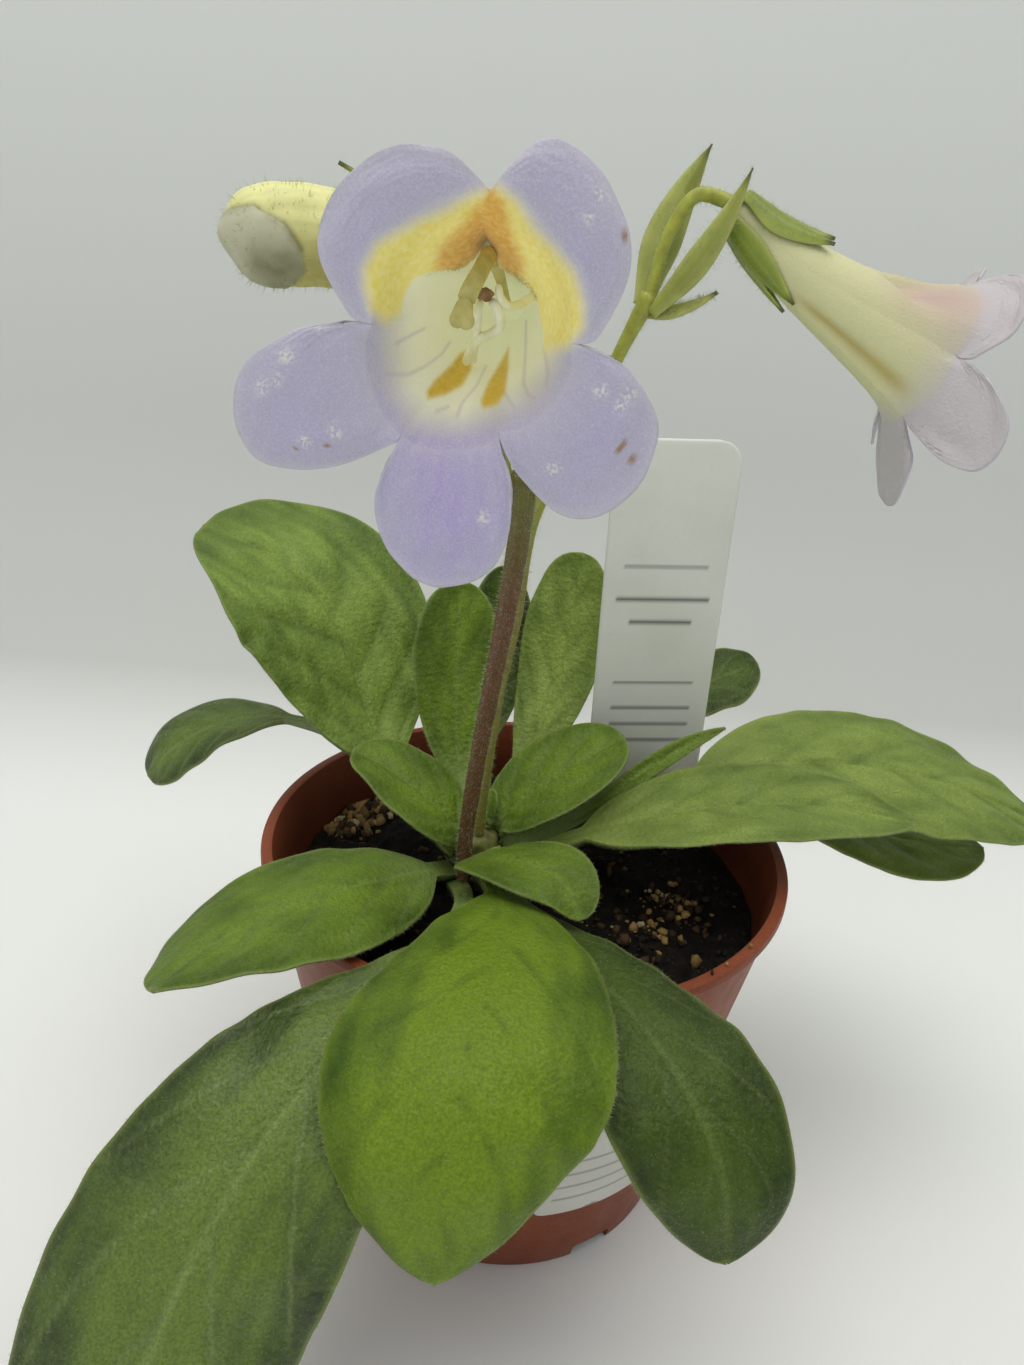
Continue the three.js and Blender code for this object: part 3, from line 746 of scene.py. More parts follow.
@dataclass(frozen=True)
class LeafFinish(Finish):
    """Hairy leaf skin: soft patches of two greens, paler veins, a lighter rim and a dull underside."""

    dark: RGB = (70, 92, 26)
    bright: RGB = (118, 142, 42)
    vein: RGB = (140, 162, 88)
    rim: RGB = (150, 165, 92)
    under: RGB = (104, 118, 76)
    patch: Pair = (0.35, 0.65)
    glow: float = 0.5
    vein_strength: float = 0.35
    fuzz: float = 0.12
    grain_scale: float = 900.0
    grain_strength: float = 1.0
    grain_height: float = 0.0005
    down: RGB = (150, 168, 92)
    dirt: RGB = (46, 44, 24)

    def base(self, g: Graph) -> NodeSocket:
        """Green patches, deeper at the sides, with veins, fuzz, specks and rim.

        Args:
            g: the material's graph.

        Returns:
            The colour's socket.
        """
        patches = g.mottle(85, *self.patch, detail=4.0)
        cells = g.mottle(520, 0.3, 0.75)
        middle = g.times(g.mask("middle"), self.glow)
        light = g.maths("ADD", g.times(patches, 0.42), middle)
        # painted shade in the grooves round the side veins
        light = g.maths("SUBTRACT", light, g.times(g.mask("valley"), 0.5))
        light = g.maths("ADD", light, g.times(g.mask("light_streak"), 0.4))
        light = g.maths("ADD", light, 0.21 - 0.34 * self.glow)
        skin = g.blend(light, self.dark, self.bright)
        skin = g.blend(cells, skin, self.vein, 0.14)
        skin = g.blend(g.mask("vein"), skin, self.vein, self.vein_strength)
        skin = g.blend(g.mottle(2300, 0.36, 0.66, 5.0), skin, self.dark, 0.4)
        down = g.flecks(1500, 0.5)
        skin = g.blend(down, skin, self.down, self.fuzz)
        dust = g.times(g.flecks(260, 0.09), 0.8)
        thin = g.mottle(70, 0.6, 0.63, 1.0)
        skin = g.blend(dust, skin, self.dirt, thin)
        skin = g.blend(g.mask("rim"), skin, self.rim, 0.55)
        skin = g.blend(g.mask("stalk"), skin, self.vein)
        return g.blend(g.mask("under"), skin, self.under)


LEAF_FINISHES = {
    LeafTone.YOUNG: LeafFinish("leaf_young", specular=0.25, dark=(52, 76, 8), bright=(118, 146, 36)),
    LeafTone.BRIGHT: LeafFinish(
        "leaf_bright", roughness=0.45, specular=0.25, dark=(48, 76, 8), bright=(132, 160, 34),
        patch=(0.3, 0.62), vein=(120, 146, 44), rim=(142, 156, 74), glow=1.15, vein_strength=0.18, fuzz=0.06,
    ),
    LeafTone.MATURE: LeafFinish(
        "leaf_mature", specular=0.28, dark=(56, 82, 16), bright=(136, 162, 66),
        patch=(0.33, 0.66), vein=(142, 164, 80), glow=0.3, vein_strength=0.3,
    ),
    LeafTone.PALE: LeafFinish(
        "leaf_pale", specular=0.28, dark=(66, 92, 22), bright=(146, 166, 76),
        patch=(0.33, 0.66), vein=(148, 166, 84), glow=0.3, vein_strength=0.3,
    ),
    LeafTone.DARK: LeafFinish(
        "leaf_dark", roughness=0.36, specular=0.4, dark=(18, 36, 8), bright=(112, 138, 48),
        patch=(0.36, 0.68), vein=(142, 162, 88), glow=0.85, vein_strength=0.75, fuzz=0.08,
    ),
    LeafTone.DEEP: LeafFinish(
        "leaf_deep", roughness=0.42, specular=0.25, dark=(20, 36, 8), bright=(76, 98, 24),
        patch=(0.36, 0.68), vein=(118, 136, 66), glow=0.75, vein_strength=0.55, fuzz=0.08,
    ),
}


LEAF_ROW, LEAF_COLUMN = 0.85, 0.62  # about how long and how wide a blade's faces are
VEIN_WIDTH = 0.55
VEIN_SLANT = 0.36  # how far a side vein runs on to the tip from the midrib to the margin, as a share
RUFFLE, SKIN_WAVE = 9.0, 13.0  # from crest to crest, at the margin and all over the blade


@dataclass(frozen=True)
class Leaf:
    """One leaf on its stalk.

    The midrib runs from the crown to the tip. width is the blade's widest. petiole is the share of the length
    that is stalk. base and end say how slowly the blade widens and how bluntly it ends. roll is the blade's
    turn in degrees, and cup the rise of its edges as a share of the half width, at the stalk and at the tip.
    quilt is how far the skin swells between two side veins.
    """

    name: str
    midrib: tuple[Triple, ...]
    width: float
    petiole: float
    base: float
    end: float
    roll: Pair
    cup: Pair
    tone: LeafTone
    quilt: float = 0.35
    groove: float = 0.45
    slot: str = "leaf_green"
    blade_thickness: float = 0.8
    stalk_thickness: float = 2.2
    side_veins: float = 4.5

    def length(self) -> float:
        """Length of the midrib."""
        return Path.drawn(self.midrib).length

    def blade_share(self, share: Array) -> Array:
        """0 to 1 from the stalk's end to the tip."""
        return np.clip((share - self.petiole) / (1 - self.petiole), 0, 1)

    def half_width(self, share: Array) -> Array:
        """Half the width.

        Args:
            share: 0 to 1 from its foot to its tip.

        Returns:
            Millimetres for each share.
        """
        blade = self.blade_share(share)
        widest = self.base / (self.base + self.end)
        form = (blade / widest) ** self.base * ((1 - blade) / (1 - widest)) ** self.end
        stalk = 1.6 * (1 - share) + 0.3
        return ((self.width / 2 * form) ** 4 + stalk**4) ** 0.25

    def stalk_share(self, share: Array) -> Array:
        """1 on the stalk, 0 on the blade."""
        return 1 - smoothstep(self.petiole * 0.6, self.petiole + 0.25, share)

    def vein_marks(self, share: Array, across: Array) -> tuple[Array, Array, Array]:
        """Where the veins run.

        Args:
            share: 0 to 1 from its foot to its tip.
            across: -1 to 1 from edge to edge.

        Returns:
            Strength of the midrib and of the side veins, and the swelling between side veins, each 0 to 1.
        """
        half = self.half_width(share)
        blade = self.blade_share(share)
        side = np.where(across < 0, 0.5, 0.0)
        turn = self.side_veins * (blade - VEIN_SLANT * np.abs(across) ** 1.2) + side
        off = np.abs(turn - np.round(turn))
        gap = off / self.side_veins * self.length() * (1 - self.petiole) * 0.7
        fade = smoothstep(0.02, 0.12, blade) * (1 - smoothstep(0.75, 0.98, np.abs(across)))
        fade = fade * (1 - smoothstep(0.85, 0.97, blade))
        middle = bump(across * half, VEIN_WIDTH) * (1 - smoothstep(0.9, 1.0, share))
        return middle, bump(gap, VEIN_WIDTH) * fade, np.sin(math.pi * off) ** 0.9 * fade

    def surface(self, share: Array, across: Array, through: Array) -> Array:
        """The leaf's two faces.

        Args:
            share: 0 to 1 from its foot to its tip.
            across: -1 to 1 from edge to edge.
            through: -0.5 to 0.5 from the underside to the top.

        Returns:
            A point in millimetres for each share.
        """
        spot, tangent = bezier(np.array(self.midrib, float), share)
        heading = np.array(self.midrib[3], float) - np.array(self.midrib[0], float)
        heading[2] = 0
        heading = unit(heading)
        level = np.tile([-heading[1], heading[0], 0.0], (len(share), 1))
        side = unit(level - dot(level, tangent) * tangent)
        up = np.cross(tangent, side)
        roll = np.radians(lerp(self.roll[0], self.roll[1], share))[:, None]
        side, up = side * np.cos(roll) + up * np.sin(roll), up * np.cos(roll) - side * np.sin(roll)
        half = self.half_width(share)
        stalk = self.stalk_share(share)
        edge = np.abs(across)
        ruffle = ripples(self.name + "_edge", np.column_stack([share * self.length(), across * 4]), RUFFLE)
        half = half * (1 + 0.004 * ruffle * edge**6 * (1 - stalk))
        thickness = lerp(self.blade_thickness * (1 - 0.6 * edge**6), self.stalk_thickness, stalk)
        rise = lerp(self.cup[0], self.cup[1], share) * half * edge**1.8
        flat = np.column_stack([share * self.length(), across * half])
        main, _, swell = self.vein_marks(share, across)
        relief = self.quilt * (swell - 0.35) - self.groove * main * (1 - 0.6 * stalk)
        relief += 0.3 * ripples(self.name + "_skin", flat, SKIN_WAVE) * smoothstep(0.05, 0.4, edge)
        relief += 0.16 * ruffle * edge**4
        relief *= 1 - stalk * 0.8
        lift = (rise + relief * smoothstep(0, 0.04, share) + through * thickness)[:, None]
        return spot + side * (across * half)[:, None] + up * lift

    def build(self) -> Object:
        """The leaf as a closed thin blade with its veins pressed in.

        Returns:
            The piece's object.
        """
        length = self.length()
        rows = int(np.clip(length / LEAF_ROW, 12, 130))
        columns = int(np.clip(self.width / LEAF_COLUMN, 10, 66))
        mesh, along, across, through = slab(self.name + "_blade", rows, columns)
        share = 1 - (1 - along) ** 1.2
        place(mesh, self.surface(share, across, through))
        main, side, swell = self.vein_marks(share, across)
        half = self.half_width(share)
        edge = np.minimum((1 - np.abs(across)) * half, (1 - share) * length)
        lengthwise = np.column_stack([share * length * 0.2, across * half])
        paint(
            mesh,
            light_streak=np.clip(0.5 + 0.3 * ripples(self.name + "_streak", lengthwise, 4.5), 0, 1),
            vein=np.maximum(main, side * 0.7),
            # where painted shade darkens the grooves round the side veins
            valley=np.clip(1 - 2.2 * swell, 0, 1) * (1 - np.abs(across)),
            middle=bump(np.abs(across), 0.55) * smoothstep(0.0, 0.35, self.blade_share(share)),
            rim=bump(edge, 0.45),
            stalk=self.stalk_share(share) * 0.75,
            under=(through < 0).astype(float),
        )
        tidy(mesh)
        return piece(mesh, FINISHES[self.tone.value], self.slot, self.name)


LEAVES = (
    Leaf("leaf_small_front", ((-5.4, -7.6, 78.5), (-17.1, -16.5, 79.5), (8.1, -19.9, 91.7), (9.5, -31, 81)),
         16.8, 0.1, 0.6, 0.53, (9, 5), (-0.04, 0.08), LeafTone.YOUNG, quilt=0.3),
    Leaf("leaf_front_centre",
         ((-8.2, -7.5, 74.4), (3, -45.6, 86.8), (-11.5, -80.4, 101.3), (-9.4, -81.8, 58.5)),
         40.7, 0.14, 0.64, 0.52, (2, -2), (-0.09, -0.31), LeafTone.BRIGHT, quilt=0.22, groove=0.25),
    Leaf("leaf_left", ((-14.8, -4.1, 71.3), (-23.9, -27, 84.9), (-44.8, -34.6, 84.2), (-56, -54.5, 80)),
         31.5, 0.11, 0.73, 0.53, (-29, 25), (-0.06, -0.07), LeafTone.YOUNG, quilt=0.3),
    Leaf("leaf_front_left",
         ((-13.3, -6.9, 69.8), (-0.6, -45.1, 85), (-41.5, -74.8, 97.2), (-52.5, -97.9, 22.1)),
         37.9, 0.26, 1.01, 0.37, (22, -31), (0, -0.23), LeafTone.DARK, quilt=0.35, slot="leaf_dark_green"),
    Leaf("leaf_front_right", ((-5.2, -6.5, 70.3), (5.5, -40, 83), (30, -74, 91.5), (31.5, -73.5, 56)),
         25.8, 0.13, 0.82, 0.47, (-17, 23), (0, -0.11), LeafTone.DEEP, quilt=0.25, slot="leaf_dark_green"),
    Leaf("leaf_centre_left", ((-13.5, -0.5, 78), (-13.5, -5.5, 82.5), (-23, -0.5, 90), (-36, 2, 94)),
         20, 0.04, 0.71, 0.54, (-14, -8), (0.12, 0.17), LeafTone.YOUNG),
    Leaf("leaf_centre_right", ((-4.5, -0.7, 79.7), (-7.6, -1, 82.9), (6.8, 2.9, 92.6), (18.6, 6.4, 99.2)),
         23.5, 0.05, 0.73, 0.48, (8, 7), (0.24, 0.07), LeafTone.YOUNG, quilt=0.45),
    Leaf("leaf_back_centre_left", ((-10.9, 1.7, 78), (-18, 14.5, 91), (-17, 19, 109.5), (-17.4, 21.5, 124.9)),
         18, 0.12, 0.77, 0.46, (-12, -5), (0.23, 0.07), LeafTone.YOUNG, quilt=0.45),
    Leaf("leaf_back_centre_right",
         ((-7.3, 1.5, 77.2), (3.6, 21.5, 91.1), (6.4, 30.7, 108.1), (7.9, 34, 129.6)),
         19.1, 0.15, 0.85, 0.43, (12, 1), (0.11, 0.1), LeafTone.PALE, quilt=0.45),
    Leaf("leaf_back_peek", ((-9.4, 2.3, 70.3), (-10.4, 22.1, 91.1), (-7.5, 35.5, 106), (-9, 39, 124)),
         15, 0.32, 0.72, 0.55, (3, 3), (0.08, 0.08), LeafTone.DEEP, slot="leaf_dark_green"),
    Leaf("leaf_back_left", ((-14, -1.5, 74.2), (-47.1, 12.9, 95.8), (-28.4, 23, 120.7), (-72, 26.5, 131.5)),
         48.1, 0.2, 0.77, 0.45, (-22, -5), (0.18, 0.13), LeafTone.MATURE, quilt=0.7, groove=0.8),
    Leaf("leaf_far_left", ((-13.5, -0.5, 70.5), (-37.5, 25.5, 99.5), (-75, 28.5, 92), (-86, 21, 73.5)),
         20, 0.48, 0.85, 0.36, (21, -48), (-0.01, -0.01), LeafTone.DARK, slot="leaf_dark_green"),
    Leaf("leaf_right_long", ((-4.1, -5.2, 73), (23, -8.5, 94), (51, -3.5, 95.5), (76, -4, 90)),
         24.1, 0.19, 0.6, 0.64, (14, 6), (0.11, 0.11), LeafTone.PALE, quilt=0.5, groove=0.6),
    Leaf("leaf_edge_on", ((-4.2, -2.4, 76.8), (16.2, -2, 84.2), (20.5, 8.8, 92.1), (40, 12.3, 100.2)),
         4.3, 0.21, 0.79, 0.62, (44, 52), (0.14, 0.2), LeafTone.YOUNG, quilt=0.1, groove=0.2),
    Leaf("leaf_right_back", ((-4.8, -0.9, 73.8), (34.9, 16.5, 91.6), (73.4, 21.6, 99.7), (115, 14, 80)),
         38.4, 0.34, 0.71, 0.62, (18, 13), (0.05, -0.01), LeafTone.PALE, quilt=0.6, groove=0.6),
    Leaf("leaf_right_lower", ((-3.5, -3.5, 70.3), (38.3, 34.7, 100.4), (67.3, 20, 66.3), (106, 22.2, 70.3)),
         24.9, 0.5, 0.71, 0.56, (6, 13), (-0.13, -0.07), LeafTone.PALE, slot="leaf_dark_green"),
    Leaf("leaf_back_right_small", ((-5, 0.5, 70.5), (6, 33, 84), (34.5, 44.5, 93.5), (53.5, 45.5, 102.5)),
         20, 0.54, 0.73, 0.5, (2, 8), (0.02, 0.02), LeafTone.DEEP, slot="leaf_dark_green"),
    Leaf("leaf_newest", ((-8.2, -1, 81.4), (-8.2, -0.6, 83), (-7.8, 0, 85), (-7, 1, 88)),
         5, 0.1, 0.7, 0.5, (0, 0), (0.3, 0.3), LeafTone.YOUNG, quilt=0.1, groove=0.2),
)


# ---------- stalks, bracts and hairs ----------


@dataclass(frozen=True)
class StalkFinish(Finish):
    """A soft stalk: one colour at its foot and another above a height, in metres, with fine streaks."""

    foot: RGB = (114, 76, 50)
    head: RGB = (112, 110, 52)
    turn: Pair = (0.135, 0.153)
    streak: RGB = (60, 44, 30)
    down: RGB = (190, 180, 150)

    def base(self, g: Graph) -> NodeSocket:
        """Foot colour that turns to the head colour, with darker streaks.

        Args:
            g: the material's graph.

        Returns:
            The colour's socket.
        """
        height = g.add("SeparateXYZ", {0: g.where()}).outputs[2]
        share = g.between(height, self.turn[0], self.turn[1])
        skin = g.blend(share, self.foot, self.head)
        streaks = g.mottle(700, 0.35, 0.75)
        skin = g.blend(streaks, skin, self.streak, 0.35)
        down = g.flecks(1800, 0.6)
        return g.blend(down, skin, self.down, 0.3)


@dataclass(frozen=True)
class Stalk:
    """A round stalk along a smooth path, with a radius at each end and rounded ends."""

    name: str
    points: tuple[Triple, ...]
    radii: Pair
    swell: float = 0.0
    steps: int = 90
    sides: int = 20
    tuck: float = 1.2

    def surface(self, along: Array, turn: Array) -> Array:
        """The stalk's skin.

        Args:
            along: 0 to 1 from end to end.
            turn: angles round it, in radians.

        Returns:
            A point in millimetres for each angle.
        """
        path = Path.through(self.points)
        reach = lerp(-self.tuck, path.length + self.tuck, along)
        on = np.clip(reach / path.length, 0, 1)
        tangent = path.tangent(on)
        aside = np.tile([1.0, 0.31, 0.12], (len(along), 1))
        right = unit(aside - dot(aside, tangent) * tangent)
        front = np.cross(tangent, right)
        radius = lerp(self.radii[0], self.radii[1], on)
        end = np.minimum(reach, path.length - reach) + self.tuck
        radius = radius * np.sqrt(np.clip(1 - (1 - np.clip(end / 0.8, 0, 1)) ** 2, 0, 1))
        radius = radius * (1 + self.swell * bump(path.length - reach, 4.5))
        radius = radius * (1 + 0.025 * ripples(self.name, np.column_stack([reach, np.cos(turn) * 3]), 5.0))
        ring = right * np.cos(turn)[:, None] + front * np.sin(turn)[:, None]
        return path.spot(on) + tangent * (reach - on * path.length)[:, None] + ring * radius[:, None]

    def build(self, finish: Material, slot: str) -> Object:
        """The stalk as a closed skin.

        Args:
            finish: its material.
            slot: the record's material slot.

        Returns:
            The piece's object.
        """
        mesh, along, turn = tube(self.name + "_stem", self.steps, self.sides)
        place(mesh, self.surface(along, turn))
        tidy(mesh, weld=True)
        return piece(mesh, finish, slot, self.name)


PEDUNCLE = Stalk(
    "main_peduncle",
    ((-11.7, -8.1, 73.2), (-11.8, -9.3, 80), (-11.5, -10.8, 87.5), (-9.8, -13.5, 106), (-7.8, -17, 123.1),
     (-6.2, -21.3, 138.7), (-5.5, -25, 147.8), (-5.5, -28, 156.0)),
    (1.4, 1.75), swell=0.32, steps=140,
)
SECOND_PEDUNCLE = Stalk(
    "second_peduncle",
    ((-9.3, -4.4, 81.2), (-9, -4.8, 90), (-7.4, -6, 110.8), (-5.1, -8.5, 127.6), (-3.4, -14.5, 147),
     (3, -20.5, 164.1), (7, -23.5, 174.3), (9.8, -26, 181.6)),
    (1.0, 0.95), swell=0.35, steps=150,
)
PEDICELS = (
    Stalk("front_pedicel",
          ((-5.9, -27.5, 156.9), (-6.3, -25.5, 166), (-7.6, -24.6, 175), (-8.75, -30.75, 179.75)),
          (0.85, 0.85), steps=60),
    Stalk("bud_pedicel",
          ((-7.8, -27.5, 156.1), (-11.5, -28, 167), (-13.4, -28.7, 177), (-15.3, -31.9, 183.8)),
          (0.85, 0.85), steps=60),
    Stalk("right_pedicel", ((10.1, -26, 182.1), (11.4, -26, 189.2), (14.6, -26, 194.6), (19.4, -26.5, 194.0)),
          (0.85, 0.95), steps=50),
)


@dataclass(frozen=True)
class BractFinish(Finish):
    """Green bract or sepal: lighter at its edges, a dark pointed tip and lengthwise veins."""

    middle: RGB = (168, 176, 78)
    edge: RGB = (204, 208, 124)
    tip: RGB = (70, 62, 34)
    shade: RGB = (104, 112, 44)
    vein: RGB = (178, 182, 116)

    def base(self, g: Graph) -> NodeSocket:
        """Middle and edge greens, veins and the tip.

        Args:
            g: the material's graph.

        Returns:
            The colour's socket.
        """
        skin = g.blend(g.mask("edge"), self.middle, self.edge)
        skin = g.blend(g.mottle(260, 0.35, 0.7), skin, self.shade, 0.35)
        skin = g.blend(g.mask("vein"), skin, self.vein, 0.3)
        return g.blend(g.mask("tip"), skin, self.tip, 0.85)


def slim_blade(path: Path, width: float, facing: Array, thickness: float, along: Array, across: Array,
               through: Array) -> Array:
    """Points of a slim blade along a path: broadest before its middle and pointed at its end.

    Args:
        path: the blade's midline.
        width: its widest.
        facing: the way that its broad face looks.
        thickness: its thickness.
        along: shares of the length.
        across: -1 to 1 from edge to edge.
        through: -0.5 to 0.5 from the back to the front.

    Returns:
        A point in millimetres for each share.
    """
    tangent = path.tangent(along)
    face = np.tile(np.asarray(facing, float), (len(along), 1))
    up = unit(face - dot(face, tangent) * tangent)
    side = np.cross(up, tangent)
    taper = 1 - (np.maximum(along - 0.4, 0) / 0.6) ** 1.6
    half = np.maximum(width / 2 * lerp(0.55, 1, smoothstep(0, 0.4, along)) * taper, 0.12)
    keel = 0.45 * half * (1 - np.abs(across) ** 1.5)
    lift = through * thickness * (1 - 0.6 * across**4) + keel - 0.3 * half
    return path.spot(along) + side * (across * half)[:, None] + up * lift[:, None]


def paint_blade(mesh: Mesh) -> None:
    """Stores the masks that a bract or sepal finish reads.

    Args:
        mesh: the blade, made from a slab.
    """
    along, across = channel(mesh, "along"), channel(mesh, "across")
    lines = np.abs(np.sin(across * math.pi * 1.5)) ** 8
    paint(mesh, edge=np.abs(across) ** 2.5, tip=smoothstep(0.86, 0.99, along), vein=lines)


@dataclass(frozen=True)
class Bract:
    """A small leaf at a node of a flower stalk."""

    name: str
    width: float
    facing: Triple
    points: tuple[Triple, ...]

    def build(self, finish: Material) -> Object:
        """The bract as a closed slim blade.

        Args:
            finish: its material.

        Returns:
            The piece's object.
        """
        mesh, along, across, through = slab(self.name + "_blade", 44, 14)
        points = np.array(self.points, float)
        points[0] -= 1.6 * unit(points[1:2] - points[:1])[0]
        path = Path.drawn(points)
        place(mesh, slim_blade(path, self.width, np.array(self.facing), 0.55, along, across, through))
        paint_blade(mesh)
        tidy(mesh)
        return piece(mesh, finish, "bract_green", self.name)


BRACTS = (
    Bract("bract_main_left", 5, (0, -1, 0.3), ((-8.6, -29.2, 154.2), (-12, -31, 160), (-14, -31.5, 170))),
    Bract("bract_main_right", 5.4, (0, -1, 0.3), ((-2.2, -29, 154.6), (0, -30.5, 161), (0.5, -31.5, 171))),
    Bract("bract_second_left", 5.4, (0, -1, 0.1),
          ((9.6, -25, 182.4), (10.6, -22.6, 190.5), (16.4, -22, 201.2))),
    Bract("bract_second_right", 3.7, (-0.3, -1, 0.2),
          ((11.3, -27.5, 181), (16.8, -31.5, 187.2), (20.4, -32, 197.6))),
    Bract("bract_second_small", 3.2, (0, -0.7, 1),
          ((10.9, -25.2, 179.9), (15.4, -28, 180.6), (18.4, -30.5, 183))),
)


@dataclass(frozen=True)
class HairFinish(Finish):
    """Clear pale hair."""

    tint: RGB = (196, 204, 160)
    foot: RGB = (150, 160, 104)

    def base(self, g: Graph) -> NodeSocket:
        """Pale, with a slightly darker foot here and there."""
        return g.blend(g.mottle(400, 0.4, 0.7), self.tint, self.foot, 0.25)


class Hairs:
    """Fine hairs that stand on other pieces, gathered and then made as one piece."""

    def __init__(self, name: str, finish: Material, slot: str) -> None:
        """Starts with no hair.

        Args:
            name: the piece's name.
            finish: its material.
            slot: the record's material slot.
        """
        self.name, self.finish, self.slot = name, finish, slot
        self.roots: list[Array] = []
        self.tips: list[Array] = []
        self.radii: list[Array] = []

    def grow(self, roots: Array, ways: Array, length: float, radius: float, droop: float = 0.15) -> None:
        """Adds a hair at each root.

        Args:
            roots: where they stand, in millimetres.
            ways: the way that each one points.
            length: typical length in millimetres.
            radius: at the foot, in millimetres.
            droop: how far the tips stray, as a share of the length.
        """
        source = dice(self.name + str(len(self.roots)))
        stray = source.normal(size=roots.shape) * droop
        long = (length * source.uniform(0.55, 1.25, len(roots)))[:, None]
        self.roots.append(roots - unit(ways) * 0.1)
        self.tips.append(roots + unit(unit(ways) + stray) * long)
        self.radii.append(np.full(len(roots), radius))

    def build(self) -> Object:
        """All hairs as three-sided spines in one mesh.

        Returns:
            The piece's object.
        """
        roots, tips = np.concatenate(self.roots), np.concatenate(self.tips)
        radii = np.concatenate(self.radii)
        bm = bmesh.new()
        bmesh.ops.create_cone(bm, cap_ends=True, segments=3, radius1=1, radius2=0, depth=1)
        bmesh.ops.remove_doubles(bm, verts=bm.verts[:], dist=1e-4)
        corners = np.array([vertex.co[:] for vertex in bm.verts])
        mesh = flock(bm, self.name, len(roots))
        shape = corners[channel(mesh, "corner", np.int32)]
        copy = channel(mesh, "copy", np.int32)
        way = unit(tips - roots)
        aside = unit(np.cross(way, np.tile([0.31, 0.82, 0.48], (len(way), 1))))
        third = np.cross(way, aside)
        share = shape[:, 2:] + 0.5
        spot = lerp(roots[copy], tips[copy], share)
        spot += (aside[copy] * shape[:, :1] + third[copy] * shape[:, 1:2]) * radii[copy][:, None]
        place(mesh, spot)
        tidy(mesh)
        return piece(mesh, self.finish, self.slot)


# ---------- flowers ----------

# Where two lobes of the corolla meet, round the mouth, as x to the right and y up when the flower is faced.
NOTCHES = {
    "top": (1, 13.4),
    "left": (-11.5, 0.2),
    "lower_left": (-8.2, -11.9),
    "lower_right": (3.1, -10.6),
    "right": (10.7, -0.2),
}
# How far the throat's roof hangs in, by degrees anticlockwise from a direction 60 degrees above the right.
ROOF_TURNS = (-100, -81, -55.5, -36, -21, -9, 5, 20, 26, 32, 38, 44, 55, 66, 78, 90, 100)
ROOF_SAG = (0, 0.3, 1.3, 1.65, 2.0, 2.4, 2.7, 2.7, 1.6, 0.1, 1.0, 1.7, 2.1, 2.1, 1.3, 0.3, 0)
PETAL_THICKNESS = 0.45
TUBE_END_RADIUS = 2.6
MOUTH_RADIUS = 11.5
THROAT_ROUNDING = 3.2
WALL_RUN = 29.0  # from the tube's back end to the mouth, along the wall
CAP_SHARE = 0.1  # how far below 0 a corolla's run goes on its back cap
NOTCH_OUTSET = 1.03


@dataclass(frozen=True)
class Lobe:
    """A lobe of the corolla between two notches, anticlockwise, with its free edge's points and its lean."""

    start: str
    end: str
    lean: float
    outline: tuple[Pair, ...]
    start_lift: float = 0.0
    end_lift: float = 0.0


LOBES = (
    Lobe("right", "top", -6, ((13.4, 1), (15.8, 8.5), (12, 16), (6, 18.6)), 0.0, -0.5),
    Lobe("top", "left", -6, ((-3.5, 17), (-9.5, 16.9), (-15, 13), (-17.2, 7.5), (-14.2, 1.5)), 0.9, 0.5),
    Lobe("left", "lower_left", 3,
         ((-19.5, -0.8), (-26, -5.5), (-27.2, -12), (-23.5, -16.2), (-16, -15.8)), -0.4, -0.4),
    Lobe("lower_left", "lower_right", 6,
         ((-11, -19), (-9.5, -25.5), (-3.6, -29.3), (3, -26.5), (5.1, -19.5)), 0.4, 0.4),
    Lobe("lower_right", "right", 3,
         ((6, -15.5), (12, -19.3), (18.6, -15.8), (20.6, -8.5), (17, -2.5)), -0.3, -0.4),
)


def turn_of(notch: str) -> float:
    """Angle of a notch round the mouth, in radians."""
    x, y = NOTCHES[notch]
    return math.atan2(y, x)


def mouth_radius(turn: Array) -> Array:
    """The mouth's radius towards angles in radians."""
    known = sorted((turn_of(n) % TAU, math.hypot(*NOTCHES[n])) for n in NOTCHES)
    return np.interp(turn, [a for a, _ in known], [r for _, r in known], period=TAU)


def turned_from(turn: Array, degrees: float) -> Array:
    """How far angles in radians are from a direction, in degrees from -180 to 180."""
    return (np.degrees(turn) - degrees + 180) % 360 - 180


@dataclass(frozen=True)
class Flower:
    """Where a flower is and how it stands.

    axis runs from the corolla tube's back end to the centre of the mouth, up is where its top lobes point,
    size scales the shared shape and lean is how much further forward its lobes stand, in degrees.
    sepal_shift turns single sepals from their even places, in degrees, and roof_drop flattens the tube's top.
    """

    name: str
    axis: tuple[Triple, ...]
    up: Triple
    size: float
    lean: float
    sepal_turn: float
    sepal_length: float
    first_sepal_stand: float
    sepal_width: float = 3.0
    sepal_shift: tuple[float, ...] = (0, 0, 0, 0, 0)
    roof_drop: float = 0.0

    def path(self) -> Path:
        """The axis."""
        return Path.drawn(self.axis)

    def put(self, points: Array) -> Array:
        """Places points of the flower's own frame along its bent axis.

        Args:
            points: rows of x, y and z. Below 0, z lies in the tube.

        Returns:
            The points in the plant's frame.
        """
        path = self.path()
        x, y, z = points.T
        along = np.clip(1 + z / path.length, 0, 1)
        facing = path.tangent(along)
        top = np.tile(np.array(self.up, float), (len(points), 1))
        up = unit(top - dot(top, facing) * facing)
        right = np.cross(up, facing)
        reach = np.maximum(z, 0) * self.size + np.minimum(z + path.length, 0)
        return (
            path.spot(along)
            + right * (x * self.size)[:, None]
            + up * (y * self.size)[:, None]
            + facing * reach[:, None]
        )

    def tube_radius(self, share: Array) -> Array:
        """Radius of the tube at shares of its length."""
        return TUBE_END_RADIUS + (MOUTH_RADIUS - TUBE_END_RADIUS) * np.clip(share, 0, 1) ** 1.1


